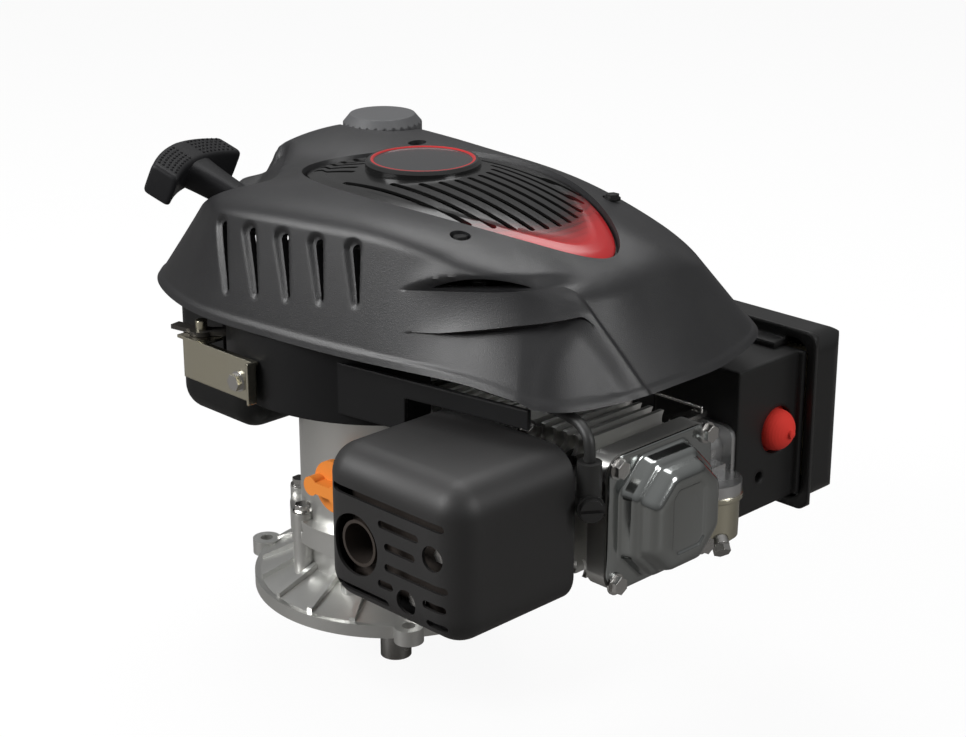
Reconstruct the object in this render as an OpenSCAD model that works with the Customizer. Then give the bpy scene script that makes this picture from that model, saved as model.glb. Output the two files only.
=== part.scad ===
/* [Mounting base] */
// Diameter of the output shaft
shaft_d = 22.2; // [19:0.1:24]
// Length of the output shaft below the mounting face
shaft_len = 62; // [50:1:80]
// Radius of the round mounting flange
flange_r = 98; // [92:1:102]
// Thickness of the mounting flange
flange_t = 9; // [7:0.5:11]
// Bolt circle of the three mounting ears
bolt_circle_d = 203.2; // [198:0.1:210]
// Diameter of a mounting hole
mount_hole_d = 9; // [8:0.2:11]
// Height of the base, up to the crankcase joint
sump_h = 50; // [46:1:52]
// Number of stiffening ribs on the flange
rib_count = 18; // [10:1:22]

/* [Crankcase and cylinder] */
// Outer radius of the crankcase
case_r = 64; // [62:1:66]
// Wall of the castings
case_wall = 8; // [6:0.5:9]
// Height of the crankcase top above the mounting face
case_top = 162; // [160:1:164]
// Height of the cylinder axis
cyl_z = 127; // [126:0.5:128]
// Cylinder bore
bore_d = 65; // [62:0.5:66]
// Piston stroke
stroke = 42; // [40:0.5:43]
// Thickness of a cooling fin
fin_t = 3; // [2:0.25:4]

/* [Head and valve cover] */
// Distance from the crank axis to the head joint
deck_x = 150; // [149:0.5:152]
// Distance from the crank axis to the valve cover joint
cover_x = 238; // [236:0.5:240]
// Height of the valve cover dome
cover_h = 25; // [22:0.5:28]
// Cover bolt spacing across
cover_bolt_y = 82; // [78:1:84]
// Cover bolt spacing up and down
cover_bolt_z = 75; // [72:1:78]

/* [Muffler] */
// Length of the muffler guard along the cylinder
guard_l = 119; // [112:1:122]
// Depth of the muffler guard
guard_w = 95; // [90:1:100]
// Height of the muffler guard
guard_h = 100; // [96:1:104]
// Sheet thickness of the guard
guard_t = 2; // [1.5:0.25:3]

/* [Air filter] */
// Width of the filter cover
filter_w = 118; // [112:1:124]
// Height of the filter cover
filter_h = 120; // [114:1:124]
// Depth of the filter cover
filter_d = 40; // [36:1:46]
// Diameter of the primer bulb
primer_d = 28; // [24:0.5:29]
// Travel of the primer bulb
primer_travel = 8; // [5:0.5:9]

/* [Blower housing and shroud] */
// Outer radius of the round blower housing
blower_r = 113; // [111:0.5:114]
// Wall of the moulded plastic
plastic_t = 3; // [2:0.25:3.5]
// Room between the flywheel and the housing, for the coil
coil_room = 25; // [24:0.5:29]
// Number of fan blades
blade_count = 20; // [14:1:24]
// Height of the top of the shroud above the mounting face
crown_z = 300; // [296:1:306]
// Half width of the egg-shaped grille panel
panel_w = 69; // [66:1:72]
// Diameter of the badge plate
badge_d = 77; // [66:1:80]

/* [Starter] */
// Radius of the rope on the starter pulley
rope_pitch_r = 40; // [36:0.5:42]
// Diameter of the starter rope
rope_d = 4; // [3:0.25:4.5]
// Length of the handle bar
handle_l = 84; // [80:1:96]

/* [Fuel] */
// Diameter of the fuel cap
cap_d = 58; // [52:1:60]
// Bore of the filler neck
neck_d = 34; // [28:1:36]

/* [Hidden] */

$fn = 64;
// Facet counts: hull corners and swept tubes
hull_fn = 24;
tube_sides = 8;
// Clearances: running shafts, seats of still pieces, and moving neighbours
run_gap = 0.05;
seat_gap = 0.1;
free_gap = 0.3;
// Overlap of cutters past a face
eps = 1;

// Heights along the crank axis
journal_r = 12.5;
pin_r = 15;
pin_half = 9;
web_t = 12;
web_r = 40;
throw_r = stroke / 2;
web_lo = cyl_z - pin_half - web_t;
web_hi = cyl_z + pin_half + web_t;
roof_t = 12;
roof_z = case_top - roof_t;
neck_top = case_top + 6;
neck_r = 32;
bearing_r = 26;
bearing_h = 13;
seal_r = 20;
seal_h = 5;
fly_z = neck_top + 8;
fly_seat_r = 10;
seal_land = shaft_d / 2 + 0.6;
fly_disc_t = 14;
fly_hub_r = 20;
fly_hub_h = 32;
cup_z = fly_z + fly_hub_h;
cup_h = 26;
cup_r = 38;
thread_r = 8;
nut_h = 12;
crank_top = cup_z + 2 + nut_h + 4;

// Base casting
cavity_r = case_r - case_wall;
rim_r = case_r + 8;
case_bolt_r = case_r + 4;
case_bolt_count = 8;
case_bolt_a0 = 132;
case_bolt_step = 40;
boss_r = 7;
rim_t = 8;
bush_r = 15;
bush_lo = 9;
bush_hi = 34;
lower_seal_r = 17.5;
lower_seal_h = 7;
ear_r = 10;
ear_h = 11;
cone_h = 14;
ear_count = 3;
ear_a0 = 202.7;
m6 = 3;

// Timing gears and camshaft
gear_m = 1.5;
crank_teeth = 20;
cam_teeth = 40;
cam_y = gear_m * (crank_teeth + cam_teeth) / 2;
gear_lo = 62;
gear_t = 10;
cam_r = 5;
cam_roof = 106;
cam_floor = sump_h + 6;
cam_room_r = gear_m * cam_teeth / 2 + gear_m + 2;
cam_wall = 5;

// Piston and rod
crown_h = 24;
deck_gap = 0.5;
rod_l = deck_x - deck_gap - crown_h - throw_r;
rod_half = 6;
piston_r = bore_d / 2 - 0.1;
piston_l = 46;
crown_t = 6;
skirt_t = 2.9;
skirt_in = piston_r - skirt_t;
rod_eye_r = sqrt(skirt_in * skirt_in - rod_half * rod_half) - throw_r - free_gap;

// Cylinder and head
barrel_r = bore_d / 2 + case_wall;
notch_x = case_r - 10;
fin_y = 104;
fin_z = 92;
fin_round = 14;
fin_first = 74;
fin_pitch = 9;
fin_count = 8;
gasket_t = 1.5;
head_x = deck_x + gasket_t;
head_core = 68;
head_fin = 92;
rocker_box_y = 94;
rocker_box_z = 88;
rocker_round = 12;
rocker_box_t = 14;
port_x = 196;
exhaust_x = 186;
exhaust_z = 108;
port_face = 50;
port_r = 17;
port_bore = 11;
valve_y = 17;
stem_r = 3;
valve_head_r = 13;
rod_y = [14, 28];
rod_z = 90;
push_r = 3;
head_bolt_y = 42;
head_bolt_z = 40;
plug_seat = [168, -8, 145];
plug_turn = -36.87;
plug_room_r = 15;
cover_plate_t = 2;

// Muffler and guard
guard_x0 = 113;
guard_y0 = -162;
guard_z0 = 80;
guard_round = 20;
outlet_x = 144.6;
outlet_z = 122.7;
outlet_r = 14.5;

// Air box and carburettor
air_x0 = 150;
air_x1 = 220;
air_y0 = 100;
air_y1 = 165;
air_z0 = 80;
air_z1 = 182;
air_wall = 4;
cover_x0 = 110;
cover_z0 = 72;
hinge_y = 159;
hinge_z = 75;
hinge_pin_r = 2;
hinge_ear = 4.5;
hinge_x = [158, 182];
primer_y = 142;
primer_z = 132;
primer_pocket = primer_travel + 10;
carb_y0 = port_face + 8;
throttle_y = 70;
arm_l = 22;
gov_x = 116;
arm_z = 150;
arm_t = 3;
throttle_r = 3;
gov_r = 4;
wire_r = 1.2;

// Blower housing
flywheel_r = blower_r - coil_room;
blower_z0 = 157;
blower_z1 = 206;
floor_z = case_top;
coil_a = -60;
wall_turn = -61;
guide_y = blower_r * 0.885;
guide_lo = 158;
coil_out = blower_r - plastic_t - 2.5;
coil_ring = lerp(flywheel_r, coil_out, 0.41);

// Starter
pulley_lo = 238;
pulley_h = 12;
frame_z = 252;
post_r = 8;
leg_r = 4.5;
leg_ring = (flywheel_r + blower_r - plastic_t) / 2;
leg_angles = [75, 165, 255];
pull_root = [-100, -45, 262];
pull_azimuth = 200.4;
pull_tilt = 65.9;
stem_l = 36;
guide_r = 9;
guide_l = 10;

// Tank
cap_x = -124;
cap_y = 107;
neck_z = 270;
tank_wall = 3;
tank_lo = 102;
tank_hi = 204;
tank_from = [-158, -66, tank_lo];
tank_to = [-72, 152, tank_hi];

// Egg-shaped panel and dome of the shroud
panel_x = 30;
panel_y = 19;
panel_nose = 150;
panel_tail = 115;
dome_x = 33;
dome_y = 10;
badge_at = [10, 22];
recess = 6;
ledge = 9;

// Shroud: points of the lower edge, and of the shoulder above each of them
edge_pts = [
    [236, 20, 200], [233, 70, 200], [220, 116, 206], [175, 138, 208], [90, 142, 208],
    [0, 144, 208], [-80, 150, 208], [-150, 146, 208], [-174, 95, 208], [-177, 32, 208],
    [-175, -10, 208], [-168, -45, 208], [-150, -80, 207], [-110, -104, 207], [-55, -117, 207], [15, -115, 208],
    [90, -105, 208], [160, -91, 207], [212, -72, 200], [231, -30, 199]
];
shoulder_pts = [
    [205, 20, 252], [200, 62, 255], [190, 95, 250], [150, 112, 258], [85, 118, 268],
    [0, 120, 274], [-78, 128, 276], [-135, 128, 276], [-152, 88, 280], [-151, 32, 276],
    [-148, -6, 260], [-140, -36, 252], [-122, -62, 257], [-85, -86, 270], [-45, -102, 274], [20, -98, 277],
    [88, -86, 277], [145, -68, 268], [188, -46, 256], [203, -12, 252]
];
edge_steps = 4;

// Held cords: ignition lead and fuel hose
lead_pts = [
    [49, -86.3, 197.2], [50, -86, 204], [68, -81, 213], [104, -77, 209], [150, -66, 200], [196, -56, 196],
    [220, -55, 193], [232.5, -57.6, 187], [235.2, -58.4, 178], [235.2, -58.4, 172.6]
];
hose_pts = [
    [-61.1, 92, 118], [-55, 92, 118], [-20, 95, 116], [40, 95, 114], [110, 96, 108], [146, 93, 102],
    [162, 86.5, 97], [169.5, 83.9, 96], [178, 82.3, 96]
];
lead_r = 3.5;
hose_r = 3.5;

function unit(v) = v / norm(v);
function lerp(a, b, t) = a + (b - a) * t;
function spline(a, b, c, d, t) =
    0.5 * (2 * b + (c - a) * t + (2 * a - 5 * b + 4 * c - d) * t * t + (3 * b - a - 3 * c + d) * pow(t, 3));

// Closed curve through a ring of points
function ring_curve(p, n) =
    let (m = len(p))
    [for (i = [0 : m - 1]) for (k = [0 : n - 1])
        spline(p[(i + m - 1) % m], p[i], p[(i + 1) % m], p[(i + 2) % m], k / n)];

// Open curve through a row of points
function row_curve(p, n) =
    let (m = len(p))
    concat(
        [for (i = [0 : m - 2]) for (k = [0 : n - 1])
            spline(p[max(i - 1, 0)], p[i], p[i + 1], p[min(i + 2, m - 1)], k / n)],
        [p[m - 1]]);

// Faces of a closed band of rings, each of n points, joined ring to ring
function band_faces(rings, n, wrap) =
    [for (i = [0 : rings - (wrap ? 1 : 2)]) for (j = [0 : n - 1]) for (h = [0, 1])
        let (
            a = i * n + j,
            b = i * n + (j + 1) % n,
            c = ((i + 1) % rings) * n + (j + 1) % n,
            d = ((i + 1) % rings) * n + j
        )
        h == 0 ? [a, c, b] : [a, d, c]];

// Tube swept along a row of points
module tube(points, r, up) {
    p = row_curve(points, 3);
    last = len(p) - 1;
    rings = [for (i = [0 : last])
        let (
            d = unit(p[min(i + 1, last)] - p[max(i - 1, 0)]),
            s = unit(cross(d, up)),
            w = cross(d, s)
        )
        for (k = [0 : tube_sides - 1])
            p[i] + r * (cos(k * 360 / tube_sides) * s + sin(k * 360 / tube_sides) * w)];
    ends = [
        [for (k = [0 : tube_sides - 1]) k],
        [for (k = [tube_sides - 1 : -1 : 0]) last * tube_sides + k]
    ];
    polyhedron(rings, concat(band_faces(last + 1, tube_sides, false), ends));
}

// Outline of an involute gear
function involute(rb, r) = r <= rb ? 0 : sqrt(pow(r / rb, 2) - 1) * 180 / PI - acos(rb / r);
function gear_outline(m, n, lash) =
    let (
        rp = m * n / 2,
        rb = rp * cos(20),
        rf = rp - 1.25 * m,
        radii = [rf, max(rb, rf), rp, rp + m],
        half = 90 / n - lash / rp * 180 / PI + involute(rb, rp)
    )
    [for (k = [0 : n - 1]) for (s = [-1, 1]) for (i = [0 : 3])
        let (
            r = radii[s < 0 ? i : 3 - i],
            a = k * 360 / n + s * (half - involute(rb, r))
        )
        r * [cos(a), sin(a)]];

// Plate with round corners, centred, standing on z = 0
module round_plate(x, y, r, t) {
    for (s = [-1, 1])
        for (q = [-1, 1])
            translate([s * (x / 2 - r), q * (y / 2 - r), 0])
                cylinder(r = r, h = t);
    translate([-x / 2 + r, -y / 2, 0])
        cube([x - 2 * r, y, t]);
    translate([-x / 2, -y / 2 + r, 0])
        cube([x, y - 2 * r, t]);
}

// The same plate with its normal along +X, centred on the cylinder axis at x
module cyl_plate(x, t, w, h, r) {
    translate([x, 0, cyl_z])
        rotate([90, 0, 90])
            round_plate(w, h, r, t);
}

// Box with round edges between two opposite corners
module soft_box(lo, hi, r) {
    size = hi - lo;
    translate((lo + hi) / 2)
        intersection() {
            translate([0, 0, -size[2] / 2])
                round_plate(size[0], size[1], r, size[2]);
            rotate([90, 0, 0])
                translate([0, 0, -size[1] / 2])
                    round_plate(size[0], size[2], r, size[1]);
            rotate([90, 0, 90])
                translate([0, 0, -size[0] / 2])
                    round_plate(size[1], size[2], r, size[0]);
        }
}

// Tube of revolution
module ring(r_out, r_in, h) {
    difference() {
        cylinder(r = r_out, h = h);
        translate([0, 0, -eps])
            cylinder(r = r_in, h = h + 2 * eps);
    }
}

// Flanged hex bolt: shank down from z = 0, head up
module hex_bolt(r, l, af) {
    translate([0, 0, -l])
        cylinder(r = r, h = l);
    cylinder(r = af * 0.68, h = 1.5);
    cylinder(d = af / cos(30), h = r * 1.9, $fn = 6);
}

// Place children in turn round the crank axis
module around(count, a0, step = 0) {
    for (i = [0 : count - 1])
        rotate(a0 + i * (step > 0 ? step : 360 / count))
            children();
}

module push_rod_bores(r) {
    for (y = rod_y)
        translate([cavity_r - 4, y, rod_z])
            rotate([0, 90, 0])
                cylinder(r = r, h = cover_x + 20 - cavity_r);
}

// Children laid along the spark plug, local +Z out of the head
module along_plug() {
    translate(plug_seat)
        rotate([0, 90, plug_turn])
            children();
}

// Children laid along the pull of the starter handle, local +Z outwards
module along_pull() {
    translate(pull_root)
        rotate([0, pull_tilt, pull_azimuth])
            children();
}

// Base, crankcase and crank train

module sump() {
    color("silver") difference() {
        union() {
            cylinder(r = flange_r, h = flange_t);
            around(ear_count, ear_a0)
                translate([bolt_circle_d / 2, 0, 0])
                    cylinder(r = ear_r, h = ear_h);
            cylinder(r = case_r, h = sump_h);
            translate([0, 0, sump_h - rim_t])
                cylinder(r = rim_r, h = rim_t);
            around(case_bolt_count, case_bolt_a0, case_bolt_step)
                translate([case_bolt_r, 0, 0])
                    cylinder(r = boss_r, h = sump_h);
            around(rib_count, 0)
                rotate([90, 0, 0])
                    translate([0, 0, -2])
                        linear_extrude(4)
                            polygon([
                                [case_r - 1, flange_t - 1], [flange_r - 4, flange_t - 1],
                                [flange_r - 4, flange_t + 3], [case_r - 1, flange_t + cone_h + 4]
                            ]);
            rotate_extrude()
                polygon([
                    [case_r - 2, flange_t - 1], [flange_r - 4, flange_t - 1], [flange_r - 4, flange_t],
                    [case_r - 2, flange_t + cone_h]
                ]);
        }
        difference() {
            translate([0, 0, flange_t])
                cylinder(r = cavity_r, h = sump_h);
            cylinder(r = bush_r + case_wall, h = bush_hi);
        }
        translate([0, 0, bush_lo])
            cylinder(r = bush_r, h = sump_h);
        translate([0, 0, -eps])
            cylinder(r = lower_seal_r, h = lower_seal_h + eps);
        cylinder(r = journal_r + 1, h = sump_h);
        around(ear_count, ear_a0)
            translate([bolt_circle_d / 2, 0, -eps])
                cylinder(d = mount_hole_d, h = ear_h + 2 * eps);
        around(case_bolt_count, case_bolt_a0, case_bolt_step)
            translate([case_bolt_r, 0, sump_h - 20])
                cylinder(r = m6, h = 20 + eps);
    }
}

module sump_bolts() {
    color("gainsboro")
        around(case_bolt_count, case_bolt_a0, case_bolt_step)
            translate([case_bolt_r, 0, sump_h + rim_t + 4])
                hex_bolt(m6, 26, 10);
}

module lower_bush() {
    color("goldenrod")
        translate([0, 0, bush_lo])
            ring(bush_r, journal_r + run_gap, bush_hi - bush_lo);
}

module oil_seals() {
    color("dimgray") {
        ring(lower_seal_r, seal_land + run_gap, lower_seal_h);
        translate([0, 0, neck_top - seal_h])
            ring(seal_r, journal_r + run_gap, seal_h);
    }
}

module crankcase() {
    cam_wall_r = cam_room_r + cam_wall;
    boss_h = 26;
    color("silver") difference() {
        union() {
            translate([0, 0, sump_h])
                cylinder(r = case_r, h = case_top - sump_h);
            translate([0, 0, sump_h])
                cylinder(r = rim_r, h = rim_t);
            around(case_bolt_count, case_bolt_a0, case_bolt_step)
                translate([case_bolt_r, 0, sump_h])
                    cylinder(r = boss_r, h = rim_t + 4);
            translate([0, 0, case_top])
                cylinder(r = neck_r, h = neck_top - case_top);
            translate([0, cam_y, sump_h])
                cylinder(r = cam_wall_r, h = cam_roof + cam_wall - sump_h);
            translate([notch_x, 0, cyl_z])
                rotate([0, 90, 0])
                    cylinder(r = barrel_r, h = deck_x - notch_x);
            for (i = [0 : fin_count - 1])
                cyl_plate(fin_first + i * fin_pitch, fin_t, fin_y, fin_z, fin_round);
            cyl_plate(deck_x - 8, 8, fin_y, fin_z, fin_round);
            translate([gov_x, throttle_y, cyl_z - 7])
                cylinder(r = 9, h = boss_h);
            translate([gov_x - 6, barrel_r - 8, cyl_z - 7])
                cube([12, throttle_y - barrel_r + 8, 10]);
            translate([oil_x, 20 - cavity_r, oil_z])
                rotate([90, 0, 0])
                    cylinder(r = oil_neck_r, h = oil_face - cavity_r + 20);
        }
        translate([0, 0, sump_h - eps])
            cylinder(r = cavity_r, h = roof_z - sump_h + eps);
        translate([0, cam_y, cam_floor])
            cylinder(r = cam_room_r, h = cam_roof - cam_floor);
        translate([0, cam_y, sump_h + 2])
            cylinder(r = cam_r + run_gap, h = cam_roof - sump_h);
        translate([0, 0, roof_z - eps])
            cylinder(r = bearing_r, h = bearing_h + eps);
        translate([0, 0, neck_top - seal_h])
            cylinder(r = seal_r, h = seal_h + eps);
        cylinder(r = journal_r + 2, h = neck_top);
        translate([0, 0, cyl_z])
            rotate([0, 90, 0])
                cylinder(d = bore_d, h = deck_x + eps);
        around(case_bolt_count, case_bolt_a0, case_bolt_step)
            translate([case_bolt_r, 0, sump_h - eps])
                cylinder(r = m6 + seat_gap, h = rim_t + 4 + 2 * eps);
        around(case_bolt_count, case_bolt_a0, case_bolt_step)
            translate([case_bolt_r, 0, sump_h + rim_t + 4])
                cylinder(r = boss_r + 1, h = 8);
        push_rod_bores(push_r + 1);
        head_bolt_places()
            translate([0, 0, -22])
                cylinder(r = m6 + 1 + seat_gap, h = 30);
        translate([gov_x, throttle_y, 0])
            cylinder(r = gov_r + run_gap, h = case_top);
        translate([oil_x, 20 - cavity_r, oil_z])
            rotate([90, 0, 0])
                cylinder(r = oil_bore_r, h = 60);
    }
}

// Oil filler on the crankcase wall
oil_x = 28;
oil_z = 99;
oil_face = case_r + 10;
oil_neck_r = 15;
oil_bore_r = 10;

module oil_cap() {
    color("darkorange")
        translate([oil_x, -oil_face - free_gap, oil_z])
            rotate([90, 0, 0]) {
                cylinder(r = 18, h = 5);
                translate([-14, -4, 5])
                    cube([28, 8, 9]);
                for (s = [-1, 1])
                    translate([s * 12, 0, 5])
                        cylinder(r = 6.5, h = 9);
                translate([0, 0, -9])
                    cylinder(r = oil_bore_r - free_gap, h = 9);
                translate([0, 0, -26])
                    cylinder(r = 2, h = 18);
            }
}

module upper_bearing() {
    color("lightsteelblue")
        translate([0, 0, roof_z])
            difference() {
                ring(bearing_r, journal_r + run_gap, bearing_h);
                for (z = [-eps, bearing_h - 1.5])
                    translate([0, 0, z])
                        ring(bearing_r - 4, journal_r + 4, 1.5 + eps);
            }
}

module crankshaft() {
    key_w = 4.8;
    key_l = 40;
    color("dimgray") difference() {
        union() {
            translate([0, 0, -shaft_len])
                cylinder(d = shaft_d, h = shaft_len - 1);
            translate([0, 0, -2])
                cylinder(r = shaft_d / 2 - 0.8, h = 4);
            translate([0, 0, 0.5])
                cylinder(r = seal_land, h = bush_lo - 0.5);
            translate([0, 0, bush_lo - 1])
                cylinder(r = journal_r, h = web_lo - bush_lo + 1);
            translate([0, 0, gear_lo])
                linear_extrude(gear_t)
                    polygon(gear_outline(gear_m, crank_teeth, 0.08));
            for (z = [web_lo, web_hi - web_t])
                translate([0, 0, z])
                    difference() {
                        cylinder(r = web_r, h = web_t);
                        for (s = [-1, 1])
                            translate([web_r * 0.75, s * web_r, -eps])
                                cylinder(r = web_r * 0.55, h = web_t + 2 * eps);
                    }
            translate([throw_r, 0, web_lo])
                cylinder(r = pin_r, h = web_hi - web_lo);
            translate([0, 0, web_hi - web_t])
                cylinder(r = journal_r, h = fly_z - web_hi + web_t);
            translate([0, 0, fly_z])
                cylinder(r = fly_seat_r, h = fly_hub_h);
            translate([0, 0, fly_z])
                cylinder(r = thread_r, h = crank_top - fly_z);
        }
        translate([shaft_d / 2 - 2.4, -key_w / 2, -shaft_len + 6])
            cube([10, key_w, key_l]);
        translate([0, 0, -shaft_len - eps])
            cylinder(r = 4.2, h = 30 + eps);
    }
}

module connecting_rod() {
    big_r = pin_r + 5;
    color("lightgray")
        translate([throw_r, 0, cyl_z])
            difference() {
                union() {
                    translate([0, 0, -pin_half + 1])
                        cylinder(r = big_r, h = 2 * pin_half - 2);
                    translate([0, -rod_eye_r + 1, -rod_half + 1])
                        cube([rod_l, 2 * rod_eye_r - 2, 2 * rod_half - 2]);
                    translate([rod_l, 0, -rod_half])
                        cylinder(r = rod_eye_r, h = 2 * rod_half);
                }
                translate([0, 0, -20])
                    cylinder(r = pin_r + run_gap, h = 40);
                translate([rod_l, 0, -20])
                    cylinder(r = rod_eye_r - 2, h = 40);
                for (z = [2.5, -20])
                    translate([big_r + 3, -rod_eye_r + 2.5, z])
                        cube([rod_l - big_r - rod_eye_r - 6, 2 * rod_eye_r - 5, 17.5]);
            }
}

module piston() {
    x1 = deck_x - deck_gap;
    color("lightgray")
        translate([x1 - piston_l, 0, cyl_z])
            rotate([0, 90, 0])
                difference() {
                    cylinder(r = piston_r, h = piston_l);
                    translate([0, 0, -eps])
                        cylinder(r = skirt_in, h = piston_l - crown_t + eps);
                    for (i = [0 : 2])
                        translate([0, 0, piston_l - 8 - i * 5])
                            ring(piston_r + 1, piston_r - 2.2, 1.6);
                    translate([0, 0, piston_l - crown_h])
                        rotate([0, 90, 0])
                            translate([0, 0, -piston_r - 1])
                                cylinder(r = 7, h = 2 * piston_r + 2);
                }
}

module piston_rings() {
    x1 = deck_x - deck_gap;
    color("gray")
        for (i = [0 : 2])
            translate([x1 - 8 - i * 5, 0, cyl_z])
                rotate([0, 90, 0])
                    translate([0, 0, 0.05])
                        ring(bore_d / 2 - 0.02, piston_r - 2.1, 1.5);
}

module camshaft() {
    lobe_t = 8;
    color("gray")
        translate([0, cam_y, 0]) {
            translate([0, 0, sump_h + 3])
                cylinder(r = cam_r, h = cam_roof - sump_h);
            translate([0, 0, gear_lo])
                rotate(180 / cam_teeth)
                    linear_extrude(gear_t)
                        polygon(gear_outline(gear_m, cam_teeth, 0.08));
            for (i = [0, 1])
                translate([0, 0, 78 + i * 12])
                    rotate(i * 105) {
                        cylinder(r = 10, h = lobe_t);
                        translate([7, 0, 0])
                            cylinder(r = 6, h = lobe_t);
                    }
        }
}

// Cylinder head and valve gear

module head_bolt_places() {
    for (y = [-1, 1])
        for (z = [-1, 1])
            translate([deck_x, y * head_bolt_y, cyl_z + z * head_bolt_z])
                rotate([0, 90, 0])
                    children();
}

module cover_bolt_places() {
    for (y = [-1, 1])
        for (z = [-1, 1])
            translate([cover_x + gasket_t + cover_plate_t, y * cover_bolt_y / 2, cyl_z + z * cover_bolt_z / 2])
                rotate([0, 90, 0])
                    children();
}

module head_gasket() {
    color("darkslategray") difference() {
        cyl_plate(deck_x, gasket_t, fin_y, fin_z, fin_round);
        translate([deck_x - eps, 0, cyl_z])
            rotate([0, 90, 0])
                cylinder(d = bore_d + 1, h = gasket_t + 2 * eps);
        push_rod_bores(push_r + 1);
        head_bolt_places()
            translate([0, 0, -eps])
                cylinder(r = m6 + 1, h = 20);
    }
}

module cylinder_head() {
    deck_t = 16;
    fin_x = head_x + deck_t + 6;
    box_x = cover_x - rocker_box_t;
    room_t = 10;
    color("silver") difference() {
        union() {
            cyl_plate(head_x, deck_t, fin_y, fin_z, fin_round);
            cyl_plate(head_x, cover_x - head_x, head_core, head_core, 10);
            for (x = [fin_x : fin_pitch : box_x - fin_t - 3])
                cyl_plate(x, fin_t, head_fin, head_fin, fin_round);
            cyl_plate(box_x, rocker_box_t, rocker_box_y, rocker_box_z, rocker_round);
            translate([port_x, 0, cyl_z])
                rotate([-90, 0, 0])
                    cylinder(r = port_r, h = port_face);
            translate([exhaust_x, 0, exhaust_z])
                rotate([90, 0, 0])
                    cylinder(r = port_r, h = port_face);
        }
        cyl_plate(cover_x - room_t, room_t + eps, rocker_box_y - 24, rocker_box_z - 18, 8);
        translate([head_x - eps, 0, cyl_z])
            rotate([0, 90, 0])
                cylinder(d = bore_d - 2, h = 9 + eps);
        translate([port_x, 14, cyl_z])
            rotate([-90, 0, 0])
                cylinder(r = port_bore, h = port_face);
        translate([exhaust_x, -14, exhaust_z])
            rotate([90, 0, 0])
                cylinder(r = port_bore, h = port_face);
        for (s = [-1, 1])
            translate([head_x, s * valve_y, cyl_z])
                rotate([0, 90, 0])
                    cylinder(r = stem_r + seat_gap, h = cover_x - head_x);
        push_rod_bores(push_r + 1);
        head_bolt_places() {
            cylinder(r = m6 + 1, h = 40);
            translate([0, 0, gasket_t + deck_t])
                cylinder(r = 9, h = cover_x - deck_x - gasket_t - deck_t - rocker_box_t - 2);
        }
        cover_bolt_places()
            translate([0, 0, -18])
                cylinder(r = m6, h = 20);
        along_plug() {
            translate([0, 0, -14])
                cylinder(r = 7, h = 60);
            cylinder(r = plug_room_r, h = 100);
        }
        translate([fin_x - 1, -head_fin / 2 - eps, plug_seat[2] + 4])
            cube([box_x - fin_x, 8, 14]);
    }
}

module head_bolts() {
    color("gray")
        head_bolt_places()
            translate([0, 0, gasket_t + 16])
                hex_bolt(m6 + 1, 38, 12);
}

module valve_cover_gasket() {
    color("black") difference() {
        cyl_plate(cover_x, gasket_t, rocker_box_y, rocker_box_z, rocker_round);
        cyl_plate(cover_x - eps, gasket_t + 2 * eps, rocker_box_y - 24, rocker_box_z - 18, 8);
        cover_bolt_places()
            translate([0, 0, -10])
                cylinder(r = m6, h = 12);
    }
}

// Block with its four long edges cut off, tapering from x to x + h
module cover_dome(x, h, w, t, cut, lean) {
    pts = function (a, b, c) [
        [a / 2 - c, b / 2], [-a / 2 + c, b / 2], [-a / 2, b / 2 - c], [-a / 2, -b / 2 + c],
        [-a / 2 + c, -b / 2], [a / 2 - c, -b / 2], [a / 2, -b / 2 + c], [a / 2, b / 2 - c]
    ];
    hull()
        for (k = [0, 1])
            translate([x + k * (h - 0.1), 0, cyl_z])
                rotate([90, 0, 90])
                    linear_extrude(0.1)
                        polygon(pts(w - k * lean, t - k * lean, cut));
}

module valve_cover() {
    x0 = cover_x + gasket_t;
    dome_w = rocker_box_y - 20;
    dome_t = rocker_box_z - 12;
    color("gainsboro") difference() {
        union() {
            cyl_plate(x0, cover_plate_t, rocker_box_y, rocker_box_z, rocker_round);
            cover_dome(x0 + 1, cover_h * 0.55, dome_w, dome_t, 13, 3);
            cover_dome(x0 + 1, cover_h - 1, dome_w - 8, dome_t - 8, 12, 7);
        }
        cover_dome(x0 - eps, cover_h - 1, dome_w - 14, dome_t - 14, 11, 7);
        cover_bolt_places()
            translate([0, 0, -10])
                cylinder(r = m6, h = 12);
        translate([x0 + cover_h - 0.8, -14, cyl_z - 22])
            cube([2, 28, 44]);
    }
}

module valve_cover_bolts() {
    color("gainsboro")
        cover_bolt_places()
            hex_bolt(m6, 16, 10);
}

module valves() {
    color("gray")
        for (s = [-1, 1])
            translate([head_x + 5, s * valve_y, cyl_z])
                rotate([0, 90, 0]) {
                    cylinder(r = valve_head_r, h = 3);
                    cylinder(r = stem_r, h = cover_x + 6 - head_x - 5);
                }
}

module valve_springs() {
    color("dimgray")
        for (s = [-1, 1])
            translate([cover_x - 10, s * valve_y, cyl_z])
                rotate([0, 90, 0])
                    ring(10, 7.5, 15);
}

module rocker_arms() {
    tips = [[-valve_y, rod_y[0]], [valve_y, rod_y[1]]];
    color("darkgray")
        for (p = tips)
            hull() {
                translate([cover_x + 6.2, p[0], cyl_z])
                    rotate([0, 90, 0])
                        cylinder(r = 6, h = 5);
                translate([cover_x + 6.2, p[1] - 14, rod_z + 16])
                    rotate([0, 90, 0])
                        cylinder(r = 4, h = 5);
            }
}

module push_rods() {
    color("gray")
        for (y = rod_y)
            translate([cavity_r + 2, y, rod_z])
                rotate([0, 90, 0])
                    cylinder(r = push_r, h = cover_x - cavity_r - 4);
}

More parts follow.
